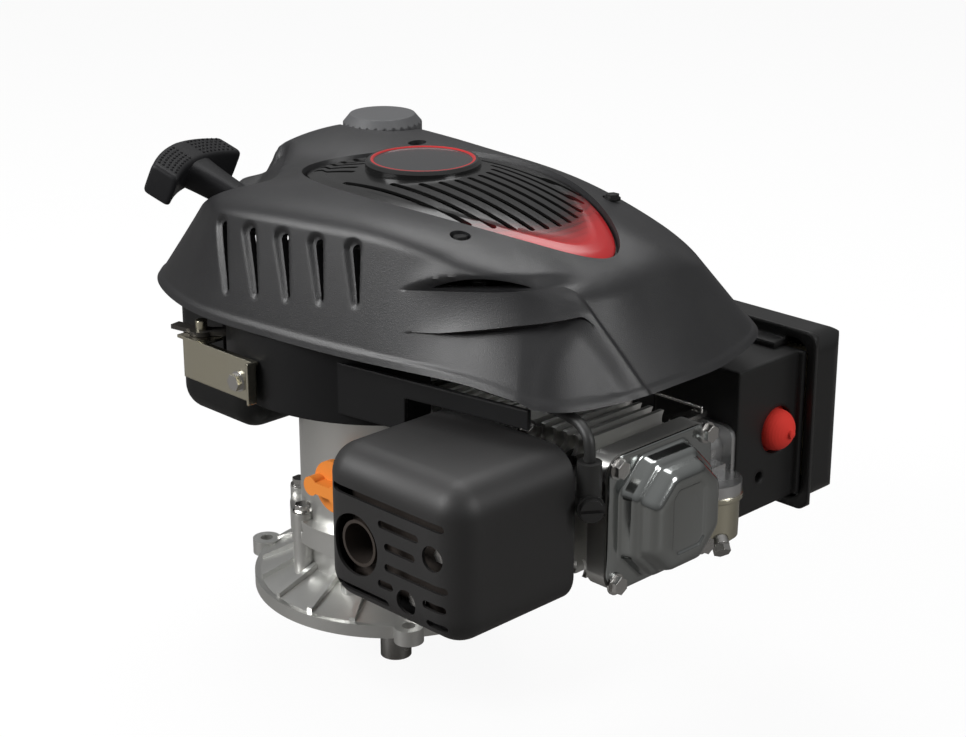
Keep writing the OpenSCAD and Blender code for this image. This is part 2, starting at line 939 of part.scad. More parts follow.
module spark_plug() {
    color("white")
        along_plug() {
            translate([0, 0, -13.5])
                cylinder(r = 6.9, h = 14);
            cylinder(d = 20.8 / cos(30), h = 10, $fn = 6);
            translate([0, 0, 10])
                cylinder(r = 8, h = 6);
            translate([0, 0, 16])
                cylinder(r = 5.5, h = 38);
            translate([0, 0, 54])
                cylinder(r = 3, h = 8);
        }
}

boot_s = 92;
boot_top = 27;

module plug_boot() {
    color("black") difference() {
        union() {
            along_plug() {
                translate([0, 0, 44])
                    cylinder(r = 8.5, h = boot_s - 44);
                translate([0, 0, boot_s])
                    cylinder(r = 7, h = 4);
            }
            translate(plug_seat)
                rotate(plug_turn)
                    translate([boot_s - 8, 0, 0])
                        cylinder(r = 7.5, h = boot_top);
        }
        along_plug() {
            cylinder(r = 5.7, h = 54.2);
            cylinder(r = 3.2, h = 62.3);
            translate([-1, -10, boot_s + 2])
                cube([2, 20, 5]);
        }
    }
}

// Ignition

module ignition_lead() {
    color("black")
        tube(lead_pts, lead_r, [0, 1, 0]);
}

module ignition_coil() {
    leg_w = 16;
    leg_at = 24;
    coil_lo = fly_z + 1;
    coil_h = 14;
    color("dimgray")
        rotate(coil_a)
            difference() {
                union() {
                    for (s = [-1, 1])
                        translate([flywheel_r - 6, s * leg_at - leg_w / 2, coil_lo])
                            cube([coil_out - flywheel_r + 0.5, leg_w, coil_h]);
                    translate([flywheel_r + 4, -leg_at, coil_lo])
                        cube([coil_out - flywheel_r - 5.5, 2 * leg_at, coil_h]);
                    translate([flywheel_r + 2.5, -14, coil_lo + 0.5])
                        cube([coil_out - flywheel_r - 2.5, 28, coil_h + 5]);
                }
                cylinder(r = flywheel_r + 0.5, h = crown_z);
                for (s = [-1, 1])
                    translate([coil_ring, s * leg_at, 0])
                        cylinder(r = m6 - 0.5, h = crown_z);
            }
}

// Exhaust

module muffler() {
    gap = 10;
    lo = [guard_x0 + gap, guard_y0 + gap + 2, guard_z0 + gap];
    hi = [guard_x0 + guard_l - gap, guard_y0 + guard_w - 14, guard_z0 + guard_h - gap];
    face = port_face;
    pad = 12;
    color("saddlebrown") difference() {
        union() {
            soft_box(lo, hi, 10);
            for (x = [lo[0] + 18, hi[0] - 18 - pad])
                translate([x, hi[1] - 24 - pad, guard_z0 + guard_t])
                    cube([pad, pad, guard_h - 2 * guard_t]);
            translate([exhaust_x, -face, exhaust_z])
                rotate([90, 0, 0]) {
                    cylinder(r = port_r, h = 5);
                    cylinder(r = port_bore + 2, h = hi[1] > -face ? 5 : -face - hi[1] + 12);
                }
            translate([outlet_x, lo[1] + 8, outlet_z])
                rotate([90, 0, 0])
                    cylinder(r = outlet_r, h = 17);
        }
        translate([exhaust_x, -face + eps, exhaust_z])
            rotate([90, 0, 0])
                cylinder(r = port_bore, h = 30);
        translate([outlet_x, lo[1] + 12, outlet_z])
            rotate([90, 0, 0])
                cylinder(r = outlet_r - 2, h = 30);
    }
}

// Slot through the slotted face, from x0 to x1 at height z
module guard_slot(x0, x1, z, h) {
    deep = guard_t + 6 + eps;
    for (x = [x0 + h / 2, x1 - h / 2])
        translate([x, guard_y0 - eps, z])
            rotate([-90, 0, 0])
                cylinder(d = h, h = deep);
    translate([x0 + h / 2, guard_y0 - eps, z - h / 2])
        cube([x1 - x0 - h, deep, h]);
}

slot_h = 5;
guard_slots = [
    [11, 106, 75], [52, 86, 63], [57, 83, 50], [57, 108, 37], [51, 64, 25], [11, 59, 13],
    [89, 107, 25], [91, 107, 13]
];
screw_holes = [[97, 55], [75, 20]];
hole_r = 8;

module muffler_guard() {
    lo = [guard_x0, guard_y0, guard_z0];
    hi = [guard_x0 + guard_l, guard_y0 + guard_w, guard_z0 + guard_h];
    back = 30;
    t = [guard_t, guard_t, guard_t];
    color([0.1, 0.1, 0.1]) difference() {
        soft_box(lo, hi + [0, back, 0], guard_round);
        soft_box(lo + t, hi + [-guard_t, 2 * back, -guard_t], guard_round - guard_t);
        translate([lo[0] - eps, hi[1], lo[2] - eps])
            cube([guard_l + 2 * eps, back + 2 * eps, guard_h + 2 * eps]);
        for (s = guard_slots)
            guard_slot(guard_x0 + s[0], guard_x0 + s[1], guard_z0 + s[2], slot_h);
        translate([outlet_x, guard_y0 - eps, outlet_z])
            rotate([-90, 0, 0])
                cylinder(r = outlet_r + 5, h = 10);
        for (p = screw_holes)
            translate([guard_x0 + p[0], guard_y0 - eps, guard_z0 + p[1]])
                rotate([-90, 0, 0])
                    cylinder(r = hole_r, h = 10, $fn = 32);
    }
}

module guard_screws() {
    color("gainsboro")
        for (p = screw_holes)
            translate([guard_x0 + p[0], guard_y0 + 12, guard_z0 + p[1]])
                rotate([90, 0, 0]) {
                    cylinder(r = 6, h = 2);
                    cylinder(d = 8 / cos(30), h = 6, $fn = 6);
                }
}

// Intake

module intake_spacer() {
    color([0.12, 0.12, 0.12]) difference() {
        translate([port_x, port_face, cyl_z])
            rotate([-90, 0, 0])
                round_plate(50, 40, 8, carb_y0 - port_face);
        translate([port_x, port_face - eps, cyl_z])
            rotate([-90, 0, 0])
                cylinder(r = port_bore, h = 20);
    }
}

bowl_x = port_x + 22;
bowl_y = 79;
bowl_r = 19;
bowl_lo = 74;
body_lo = cyl_z - 19;

module carburettor() {
    color("darkgray") difference() {
        union() {
            translate([port_x, carb_y0, cyl_z])
                rotate([-90, 0, 0]) {
                    round_plate(50, 36, 8, 4);
                    cylinder(r = port_bore + 5, h = air_y0 - carb_y0);
                    translate([0, 0, air_y0 - carb_y0 - 4])
                        round_plate(46, 36, 8, 4);
                }
            translate([bowl_x, bowl_y, body_lo])
                cylinder(r = bowl_r, h = 8);
            translate([port_x - 9, bowl_y - 9, body_lo])
                cube([bowl_x - port_x + 12, 18, 16]);
            translate([port_x, throttle_y, body_lo + 8])
                cylinder(r = 6, h = arm_z - body_lo - 10);
        }
        translate([port_x, 0, cyl_z])
            rotate([-90, 0, 0])
                cylinder(r = port_bore, h = 200);
        translate([port_x, throttle_y, cyl_z - port_bore - 3])
            cylinder(r = throttle_r + run_gap, h = 60);
    }
}

// Slanted drain on the foot of the float bowl
module drain_place() {
    translate([bowl_x + 11, bowl_y - 6, bowl_lo + 6])
        rotate([0, 130, -30])
            children();
}

module float_bowl() {
    h = body_lo - bowl_lo;
    color("khaki") difference() {
        union() {
            translate([bowl_x, bowl_y, bowl_lo])
                rotate_extrude()
                    polygon([
                        [0, 0], [bowl_r - 6, 0], [bowl_r - 1.5, 4], [bowl_r - 1, h - 4], [bowl_r + 1, h - 3],
                        [bowl_r + 1, h], [0, h]
                    ]);
            translate([hose_pts[8][0] + 0.5, hose_pts[8][1], hose_pts[8][2]])
                rotate([0, 90, 0])
                    cylinder(r = hose_r - 0.5, h = bowl_x - hose_pts[8][0]);
        }
        drain_place()
            cylinder(r = 6, h = 20);
    }
}

module bowl_bolts() {
    color("gold") {
        translate([bowl_x, bowl_y, bowl_lo - 6])
            cylinder(d = 10 / cos(30), h = 6, $fn = 6);
        drain_place() {
            cylinder(r = 5.9, h = 7);
            translate([0, 0, 7])
                cylinder(d = 10 / cos(30), h = 5, $fn = 6);
        }
    }
}

module throttle_shaft() {
    color("goldenrod") {
        translate([port_x, throttle_y, cyl_z - port_bore - 2])
            cylinder(r = throttle_r, h = arm_z - cyl_z + port_bore + 2 + arm_t);
        translate([port_x, throttle_y + 0.75, cyl_z])
            rotate([90, 0, 0])
                cylinder(r = port_bore - 0.3, h = 1.5);
        arm(port_x, wire_r + 0.4);
    }
}

// Flat lever from a pivot at x to its wire hole, towards +Y
module arm(x, hole) {
    difference() {
        union() {
            translate([x, throttle_y, arm_z])
                cylinder(r = 6.5, h = arm_t);
            translate([x - 4.5, throttle_y, arm_z])
                cube([9, arm_l, arm_t]);
            translate([x, throttle_y + arm_l, arm_z])
                cylinder(r = 4.5, h = arm_t);
        }
        translate([x, throttle_y + arm_l, arm_z - eps])
            cylinder(r = hole, h = arm_t + 2 * eps);
    }
}

module governor_arm() {
    color("gold") {
        translate([gov_x, throttle_y, cyl_z - 16])
            cylinder(r = gov_r, h = arm_z - cyl_z + 16 + arm_t);
        arm(gov_x, wire_r + run_gap);
    }
}

module governor_link() {
    y = throttle_y + arm_l;
    z = arm_z + arm_t + free_gap + wire_r;
    color("silver") {
        translate([gov_x, y, z])
            rotate([0, 90, 0])
                cylinder(r = wire_r, h = port_x - gov_x);
        for (x = [gov_x, port_x]) {
            translate([x, y, z])
                sphere(r = wire_r);
            translate([x, y, arm_z - 2])
                cylinder(r = wire_r, h = z - arm_z + 2);
        }
    }
}

// Air filter

module air_box() {
    color([0.1, 0.1, 0.1]) difference() {
        union() {
            translate([air_x0, air_y0, air_z0])
                cube([air_x1 - air_x0, air_y1 - air_y0, air_z1 - air_z0]);
            translate([cover_x0 + 4, air_y1 - 4, air_z0 + 1])
                cube([filter_w - 8, 4, air_z1 - air_z0 - 1]);
            for (x = hinge_x) {
                translate([x, hinge_y - hinge_ear, hinge_z])
                    cube([5, 2 * hinge_ear, air_z0 - hinge_z + 1]);
                translate([x, hinge_y, hinge_z])
                    rotate([0, 90, 0])
                        cylinder(r = hinge_ear, h = 5);
            }
            translate([hinge_x[0] + 1, hinge_y, hinge_z])
                rotate([0, 90, 0])
                    cylinder(r = hinge_pin_r, h = hinge_x[1] - hinge_x[0] + 2);
        }
        translate([air_x0 + air_wall, air_y0 + air_wall, air_z0 + air_wall])
            cube([
                air_x1 - air_x0 - 2 * air_wall - primer_pocket, air_y1 - air_y0,
                air_z1 - air_z0 - 2 * air_wall
            ]);
        translate([port_x, air_y0 - eps, cyl_z])
            rotate([-90, 0, 0])
                cylinder(r = port_bore, h = 20);
        translate([air_x1 - primer_pocket, primer_y, primer_z])
            rotate([0, 90, 0])
                cylinder(d = primer_d + 4 + 2 * free_gap, h = primer_pocket + eps);
        translate([air_x1 - 8, primer_y - 17, primer_z - 29])
            rotate([0, 90, 0])
                cylinder(r = 4, h = 10);
    }
}

module primer_bulb() {
    r = primer_d / 2;
    color("red")
        translate([air_x1 - 8, primer_y, primer_z])
            rotate([0, 90, 0])
                rotate_extrude()
                    polygon(concat(
                        [[0, 0], [r + 2, 0], [r + 2, 3], [r, 4]],
                        [for (a = [0 : 10 : 70]) [r * cos(a), 8 + r * 0.8 * sin(a)]],
                        [[3, 8 + r * 0.8], [2.6, 10 + r * 0.8], [0, 10.6 + r * 0.8]]
                    ));
}

element_gap = 12;

module filter_element() {
    x0 = cover_x0 + element_gap;
    x1 = cover_x0 + filter_w - element_gap;
    z0 = cover_z0 + element_gap + 4;
    z1 = cover_z0 + filter_h - element_gap - 4;
    d = filter_d - 16;
    pleats = 24;
    step = (x1 - x0) / pleats;
    color("wheat")
        translate([0, air_y1 + 0.2, z0])
            linear_extrude(z1 - z0)
                polygon(concat(
                    [[x1, 0], [x0, 0]],
                    [for (i = [0 : pleats - 1]) for (k = [0, 1])
                        [x0 + (i + k * 0.5) * step, d - (k == 0 ? 4 : 0)]],
                    [[x1, d - 4]]
                ));
}

module air_cover() {
    lo = [cover_x0, air_y1 + free_gap, cover_z0];
    hi = [cover_x0 + filter_w, air_y1 + filter_d, cover_z0 + filter_h];
    t = [plastic_t, 0, plastic_t];
    back = 40;
    tab_w = 26;
    tab_x = air_x1 - 40;
    eye_w = hinge_x[1] - hinge_x[0] - 7;
    color([0.08, 0.08, 0.08]) {
        difference() {
            soft_box(lo - [0, back, 0], hi, 15);
            soft_box(lo + t - [0, back, 0], hi - [plastic_t, plastic_t, plastic_t], 12);
            translate([lo[0] - eps, lo[1] - back - eps, lo[2] - eps])
                cube([filter_w + 2 * eps, back + eps, filter_h + 2 * eps]);
        }
        difference() {
            soft_box(lo - [3, back, 3], [hi[0] + 3, lo[1] + 9, hi[2] + 3], 9);
            soft_box(lo + t - [0, back + 20, 0], hi + [-plastic_t, 20, -plastic_t], 12);
            translate([lo[0] - 20, lo[1] - back - eps, lo[2] - 20])
                cube([filter_w + 40, back + eps, filter_h + 40]);
        }
        translate([tab_x, lo[1] - 12, air_z1 + free_gap]) {
            cube([tab_w, 15, 4]);
            translate([0, 12, 0])
                cube([tab_w, 3, 8]);
        }
        difference() {
            translate([hinge_x[0] + 6, hinge_y, hinge_z]) {
                rotate([0, 90, 0])
                    cylinder(r = hinge_ear, h = eye_w);
                translate([0, 0, -hinge_ear])
                    cube([eye_w, 10, hinge_ear]);
            }
            translate([hinge_x[0] + 5, hinge_y, hinge_z])
                rotate([0, 90, 0])
                    cylinder(r = hinge_pin_r + run_gap, h = eye_w + 2);
        }
    }
}

// Fuel

module fuel_tank_room(w) {
    difference() {
        soft_box(tank_from + w * [1, 1, 1], tank_to - w * [1, 1, 1], 16 - w);
        translate([0, 0, blower_z0 - 3 - w])
            cylinder(r = blower_r + 3 + w, h = 200);
        cylinder(r = rim_r + 4 + w, h = 200);
    }
}

module fuel_tank() {
    color([0.07, 0.07, 0.07]) difference() {
        union() {
            fuel_tank_room(0);
            translate([cap_x, cap_y, tank_hi - 6])
                cylinder(d = neck_d + 2 * tank_wall, h = neck_z - tank_hi + 6);
            translate([-74, 92, tank_lo + 16])
                rotate([0, 90, 0])
                    cylinder(r = hose_r + 1, h = 12);
        }
        fuel_tank_room(tank_wall);
        translate([cap_x, cap_y, tank_hi - 20])
            cylinder(d = neck_d, h = neck_z - tank_hi + 20 + eps);
    }
}

cap_h = 24;
cap_ribs = 28;

module fuel_cap() {
    skirt = 14;
    color([0.1, 0.1, 0.1])
        translate([cap_x, cap_y, neck_z + free_gap])
            difference() {
                union() {
                    translate([0, 0, -skirt])
                        cylinder(d = cap_d, h = cap_h + skirt - 6);
                    translate([0, 0, cap_h - 6])
                        cylinder(d1 = cap_d, d2 = cap_d - 10, h = 6);
                }
                translate([0, 0, -skirt - eps])
                    cylinder(d = neck_d + 2 * tank_wall + 2 * free_gap, h = skirt + eps);
                for (i = [0 : cap_ribs - 1])
                    rotate(i * 360 / cap_ribs)
                        translate([cap_d / 2 + 1, 0, -skirt - eps])
                            cylinder(r = 2, h = cap_h + skirt - 4, $fn = 12);
            }
}

module fuel_hose() {
    color("dimgray")
        tube(hose_pts, hose_r, [0, 0, 1]);
}

// Blower housing

module blower_base() {
    wall_a = (blower_r - 1) * [cos(wall_turn), sin(wall_turn)];
    wall_b = [cover_x - 38, -port_face - 24];
    color([0.08, 0.08, 0.08]) difference() {
        union() {
            translate([0, 0, blower_z0])
                ring(blower_r, blower_r - plastic_t, blower_z1 - blower_z0);
            translate([0, 0, floor_z])
                cylinder(r = blower_r - 1, h = plastic_t);
            rotate(coil_a)
                for (s = [-1, 1])
                    translate([coil_ring, s * 24, floor_z])
                        cylinder(r = leg_r, h = fly_z + 1 - floor_z);
            translate([bracket_bolt_x, -bracket_y, bracket_bolt_z])
                rotate([-90, 0, 0])
                    cylinder(r = leg_r, h = bracket_y - sqrt(pow(blower_r - 1, 2) - pow(bracket_bolt_x, 2)));
            translate([guide_y / 2, guide_y, guide_lo])
                cube([air_x0 - guide_y / 2 - 0.5, plastic_t, blower_z1 - guide_lo]);
            for (s = [0, 1])
                mirror([0, s, 0])
                    translate([wall_a[0], wall_a[1], blower_z1 - 20])
                        rotate(atan2(wall_b[1] - wall_a[1], wall_b[0] - wall_a[0])) {
                            cube([norm(wall_b - wall_a), plastic_t, 12]);
                            translate([0, 0, -22])
                                cube([56, plastic_t, 34]);
                        }
        }
        translate([0, 0, floor_z - eps])
            cylinder(r = neck_r + 0.5, h = plastic_t + 2 * eps);
        translate([notch_x - 2, -fin_y / 2 - 4, blower_z0 - eps])
            cube([200, fin_y + 8, blower_z1]);
        translate([brake_at[0], brake_at[1], fly_z])
            rotate(brake_turn)
                translate([0, -12, 0])
                    cube([44, 24, 24]);
    }
}

// Brake bracket on the outside of the blower housing
bracket_y = blower_r + 3;
bracket_x0 = -75;
bracket_x1 = -1;
bracket_z0 = 160;
bracket_z1 = 188;
bracket_t = 2;
bracket_bolt_x = -16;
bracket_bolt_z = 172;
brake_at = [-70, 10 - bracket_y];
brake_z = bracket_z1 + free_gap;
pad_a = 241;
to_pad = (flywheel_r + 2.5) * [cos(pad_a), sin(pad_a)] - brake_at;
brake_turn = atan2(to_pad[1], to_pad[0]);

module brake_bracket() {
    shelf = 18;
    color("khaki") difference() {
        union() {
            translate([bracket_x0, -bracket_y - bracket_t, bracket_z0])
                cube([bracket_x1 - bracket_x0, bracket_t, bracket_z1 - bracket_z0]);
            translate([bracket_x0 - 6, -bracket_y - bracket_t, bracket_z1 - bracket_t])
                cube([26, shelf, bracket_t]);
            translate([bracket_x0, -bracket_y - 1, bracket_z1 - bracket_t])
                cube([bracket_x1 - bracket_x0, 3, bracket_t]);
            translate([bracket_x1 - bracket_t, -bracket_y - bracket_t - 5, bracket_z0])
                cube([bracket_t, 6, bracket_z1 - bracket_z0]);
            translate([brake_at[0], brake_at[1], bracket_z1 - bracket_t])
                cylinder(r = 4, h = 12);
        }
        translate([bracket_bolt_x, -bracket_y - 10, bracket_bolt_z])
            rotate([-90, 0, 0])
                cylinder(r = m6, h = 20);
    }
}

module bracket_bolts() {
    color("gainsboro")
        translate([bracket_bolt_x, -bracket_y - bracket_t, bracket_bolt_z])
            rotate([90, 0, 0])
                hex_bolt(m6, bracket_t, 10);
}

module brake_lever() {
    color("khaki") {
        translate([brake_at[0], brake_at[1], brake_z])
            difference() {
                union() {
                    cylinder(r = 8, h = 3);
                    rotate(brake_turn)
                        translate([0, -5, 0])
                            cube([norm(to_pad), 10, 3]);
                    rotate(190)
                        translate([0, -4, 0])
                            cube([24, 8, 3]);
                }
                translate([0, 0, -eps])
                    cylinder(r = 4 + run_gap, h = 10);
            }
        rotate(pad_a)
            difference() {
                translate([flywheel_r - 2, -10, fly_z + 1])
                    cube([9, 20, brake_z - fly_z - 1]);
                cylinder(r = flywheel_r + 0.6, h = crown_z);
            }
    }
}

// Rotating group above the crankcase

module flywheel() {
    rim = 8;
    color("silver") difference() {
        union() {
            translate([0, 0, fly_z])
                cylinder(r = flywheel_r, h = fly_disc_t);
            translate([0, 0, fly_z])
                cylinder(r = fly_hub_r, h = fly_hub_h);
        }
        translate([0, 0, fly_z - eps])
            cylinder(r = fly_seat_r, h = fly_hub_h + 2 * eps);
        translate([0, 0, fly_z - eps])
            ring(flywheel_r - rim, fly_hub_r + 6, fly_disc_t - 6 + eps);
    }
}

module cooling_fan() {
    blade_h = 26;
    inner = flywheel_r - 32;
    color([0.12, 0.12, 0.12]) {
        translate([0, 0, fly_z + fly_disc_t])
            ring(flywheel_r - 1, fly_hub_r + 6, 3);
        around(blade_count, 0)
            translate([inner, 0, fly_z + fly_disc_t + 3 - 0.5])
                rotate(18)
                    intersection() {
                        translate([0, -24, 0])
                            ring(26, 24, blade_h);
                        translate([0, 0, 0])
                            cube([26, 26, blade_h]);
                    }
    }
}

module starter_cup() {
    color("gray")
        translate([0, 0, cup_z])
            difference() {
                cylinder(r = cup_r, h = cup_h);
                translate([0, 0, 2])
                    cylinder(r = cup_r - 2, h = cup_h);
                translate([0, 0, -eps])
                    cylinder(r = thread_r, h = 10);
                around(6, 0)
                    translate([cup_r - 6, -4, 8])
                        cube([12, 8, 10]);
            }
}

module flywheel_nut() {
    color("gainsboro")
        translate([0, 0, cup_z + 2])
            difference() {
                cylinder(d = 22 / cos(30), h = nut_h, $fn = 6);
                translate([0, 0, -eps])
                    cylinder(r = thread_r, h = nut_h + 2 * eps);
            }
}

// Recoil starter

module starter_frame() {
    disc_r = 58;
    color("dimgray") {
        translate([0, 0, frame_z])
            difference() {
                cylinder(r = disc_r, h = 3);
                around(6, 30)
                    translate([38, 0, -eps])
                        cylinder(r = 10, h = 3 + 2 * eps);
            }
        translate([0, 0, pulley_lo - 3])
            cylinder(r = post_r, h = frame_z - pulley_lo + 3);
        for (a = leg_angles)
            rotate(a) {
                translate([disc_r - 4, -5, frame_z])
                    cube([leg_ring - disc_r + 4, 10, 3]);
                translate([leg_ring, 0, floor_z + plastic_t])
                    cylinder(r = leg_r, h = frame_z + 3 - floor_z - plastic_t);
            }
    }
}

module starter_pulley() {
    lip = 5;
    groove = rope_pitch_r - rope_d / 2 - seat_gap;
    color([0.15, 0.15, 0.15])
        translate([0, 0, pulley_lo])
            rotate_extrude()
                polygon([
                    [post_r + run_gap, 0], [groove + lip, 0], [groove + lip, 2], [groove, 3],
                    [groove, pulley_h - 2], [groove + lip, pulley_h - 1], [groove + lip, pulley_h],
                    [post_r + run_gap, pulley_h]
                ]);
}

module rope_guide() {
    color("gainsboro")
        along_pull()
            translate([0, 0, -guide_l])
                difference() {
                    union() {
                        cylinder(r = guide_r, h = guide_l);
                        translate([0, 0, guide_l - 2])
                            cylinder(r = guide_r + 3, h = 2);
                    }
                    translate([0, 0, -eps])
                        cylinder(r = rope_d / 2 + 1.6, h = guide_l + 2 * eps);
                }
}

// Rope from its tangent point on the pulley, through the guide, to the handle
pull_dir = [sin(pull_tilt) * cos(pull_azimuth), sin(pull_tilt) * sin(pull_azimuth), cos(pull_tilt)];
guide_in = pull_root - (guide_l + 6) * pull_dir;
guide_flat = norm([guide_in[0], guide_in[1]]);
tangent_a = atan2(guide_in[1], guide_in[0]) + acos(rope_pitch_r / guide_flat);
rope_from = [rope_pitch_r * cos(tangent_a), rope_pitch_r * sin(tangent_a), pulley_lo + pulley_h / 2];

module starter_rope() {
    color("ivory") {
        tube([rope_from, lerp(rope_from, guide_in, 0.5), guide_in, pull_root - guide_l / 2 * pull_dir, pull_root],
            rope_d / 2, [0, 0, 1]);
    }
}

module starter_handle() {
    bar_r = 12;
    bar_at = stem_l + 10;
    color([0.07, 0.07, 0.07])
        along_pull()
            translate([0, 0, free_gap]) {
                hull() {
                    cylinder(r = 10, h = 1, $fn = hull_fn);
                    translate([0, 0, stem_l])
                        scale([1, 1.3, 1])
                            cylinder(r = 11, h = 1, $fn = hull_fn);
                }
                hull() {
                    for (s = [-1, 1]) {
                        translate([0, s * (handle_l / 2 - bar_r), bar_at - 2])
                            sphere(r = bar_r, $fn = hull_fn);
                        translate([0, s * (handle_l / 2 - 2 * bar_r), bar_at + 5])
                            sphere(r = bar_r, $fn = hull_fn);
                    }
                    translate([0, 0, bar_at + 8])
                        sphere(r = bar_r, $fn = hull_fn);
                }
            }
}

// Top shroud

function dome_z(x, y) =
    crown_z - dome_x * pow((x - panel_x) / panel_nose, 2) - dome_y * pow((y - panel_y) / panel_w, 2);

// Point on the egg-shaped panel outline at angle u, moved in by d
function egg(u, d) =
    let (
        front = cos(u) > 0,
        reach = (front ? panel_nose : panel_tail) - d,
        half = (panel_w - d) * (front ? 1 - 0.25 * pow(cos(u), 2) : 1)
    )
    [panel_x + reach * cos(u), panel_y + half * sin(u)];

function egg_at(u, d, dz) = let (p = egg(u, d)) [p[0], p[1], dome_z(p[0], p[1]) + dz];
function egg_angle(p) =
    atan2((p[1] - panel_y) / panel_w, (p[0] - panel_x) / (p[0] > panel_x ? panel_nose : panel_tail));
function moved_in(p, d, dz) =
    let (c = [panel_x, panel_y], v = [p[0], p[1]] - c, q = c + v * (1 - d / norm(v)))
    [q[0], q[1], p[2] - dz];
function bend(a, k, b, t) = lerp(lerp(a, k, t), lerp(k, b, t), t);

module shroud_shell() {
    edge = ring_curve(edge_pts, edge_steps);
    shoulder = ring_curve(shoulder_pts, edge_steps);
    n = len(edge);
    angles = [for (p = shoulder) egg_angle(p)];
    knee = [for (i = [0 : n - 1]) shoulder[i] + 0.22 * (shoulder[i] - edge[i])];
    wall = [for (t = [0, 0.5, 1]) [for (i = [0 : n - 1]) lerp(edge[i], shoulder[i], t)]];
    cap = [for (t = [0.25, 0.5, 0.75])
        [for (i = [0 : n - 1]) bend(shoulder[i], knee[i], egg_at(angles[i], 0, 1), t)]];
    rim = [for (e = [[0, 1], [2, -recess], [ledge, -recess], [ledge, -recess - plastic_t]])
        [for (a = angles) egg_at(a, e[0], e[1])]];
    under = [for (t = [0.75, 0.4])
        [for (i = [0 : n - 1]) moved_in(
            bend(shoulder[i], knee[i], egg_at(angles[i], 0, 1), t), plastic_t, 2 * plastic_t * t + 2)]];
    inside = [for (t = [1, 0.5, 0])
        [for (i = [0 : n - 1]) moved_in(lerp(edge[i], shoulder[i], t), plastic_t, t * plastic_t)]];
    rings = concat(wall, cap, rim, under, inside);
    polyhedron([for (r = rings) each r], band_faces(len(rings), n, true));
}

louvre_count = 5;
louvre_x0 = -45;
louvre_pitch = 28.6;

module shroud_louvre(i) {
    top = [louvre_x0 + i * louvre_pitch, 266 + 1.4 * i];
    low = top + [14 - 1.4 * i, -36 + 1.8 * i];
    hull()
        for (e = [[top, 4.5], [low, 2]])
            translate([e[0][0], -80, e[0][1]])
                rotate([90, 0, 0])
                    cylinder(r = e[1], h = 60, $fn = 16);
}

// Half-moon air vent under the brow on the flank
module flank_vent() {
    a = [126, -83, 257];
    b = [178, -51, 261];
    hull() {
        for (p = [a, b])
            translate(p)
                sphere(r = 2, $fn = 12);
        translate(lerp(a, b, 0.45) + [0, 0, 6])
            sphere(r = 2, $fn = 12);
        translate(lerp(a, b, 0.5) + [-14, 24, 2])
            sphere(r = 6, $fn = 12);
    }
}

screw_at = [[119, -50], [119, 88], [-60, 82]];
screw_rise = 1;

module top_shroud() {
    color([0.13, 0.13, 0.13]) difference() {
        shroud_shell();
        for (i = [0 : louvre_count - 1])
            shroud_louvre(i);
        flank_vent();
        translate([cap_x, cap_y, 230])
            cylinder(d = cap_d + 4, h = 100);
        for (p = screw_at)
            translate([p[0], p[1], dome_z(p[0], p[1]) + screw_rise]) {
                translate([0, 0, -60])
                    cylinder(r = 2.2, h = 80, $fn = 16);
                cylinder(r = 6.5, h = 40, $fn = 24);
            }
        along_pull() {
            translate([0, 0, -guide_l - eps])
                cylinder(r = guide_r + 3.4, h = 90);
            hull() {
                cylinder(r = 13, h = 1, $fn = 16);
                translate([0, 0, 60])
                    cylinder(r = 16, h = 1, $fn = 16);
            }
        }
    }
}

// Plate on the dome, its edge moved in by d, from depth z0 to z1 below the dome
module dome_plate(d, z0, z1) {
    steps = 48;
    rings = [1, 0.75, 0.5, 0.25];
    skin = function (dz) concat(
        [for (k = rings) for (j = [0 : steps - 1])
            let (p = [panel_x, panel_y] + k * (egg(j * 360 / steps, d) - [panel_x, panel_y]))
            [p[0], p[1], dome_z(p[0], p[1]) - dz]],
        [[panel_x, panel_y, dome_z(panel_x, panel_y) - dz]]);
    m = len(rings) * steps;
    top_faces = concat(
        band_faces(len(rings), steps, false),
        [for (j = [0 : steps - 1]) [m - steps + (j + 1) % steps, m - steps + j, m]]);
    low_faces = [for (f = top_faces) [f[0] + m + 1, f[2] + m + 1, f[1] + m + 1]];
    side = [for (j = [0 : steps - 1]) for (h = [0, 1])
        let (k = (j + 1) % steps)
        h == 0 ? [j, k + m + 1, j + m + 1] : [j, k, k + m + 1]];
    polyhedron(concat(skin(z0), skin(z1)), concat(top_faces, low_faces, side));
}

slot_pitch = 10;
slot_half = 5;

module grille_slots() {
    for (i = [-slot_half : slot_half]) {
        y = panel_y + i * slot_pitch;
        reach = panel_x + (panel_nose - 36) * sqrt(1 - pow(i * slot_pitch / (panel_w + 6), 2)) - 6;
        start = abs(y - badge_at[1]) < badge_d / 2 + 5
            ? badge_at[0] + sqrt(pow(badge_d / 2 + 7, 2) - pow(y - badge_at[1], 2))
            : -10;
        back = panel_x - (panel_tail - 14) * sqrt(1 - pow(i * slot_pitch / (panel_w + 4), 2));
        back_end = badge_at[0] - sqrt(max(0, pow(badge_d / 2 + 7, 2) - pow(y - badge_at[1], 2)));
        grille_slot(start, reach, y);
        if (abs(y - badge_at[1]) < badge_d / 2 - 4)
            grille_slot(back, back_end, y);
    }
}

module grille_slot(x0, x1, y) {
    w = 4;
    hull()
        for (x = [x0 + w / 2, x1 - w / 2])
            translate([x, y, 250])
                cylinder(d = w, h = 60, $fn = 12);
}

module grille_panel() {
    color([0.05, 0.05, 0.05]) difference() {
        dome_plate(3.2, recess - 3.8, recess - 0.6);
        grille_slots();
        translate([badge_at[0], badge_at[1], 250])
            cylinder(d = badge_d + 2 * seat_gap, h = 80, $fn = 48);
    }
}

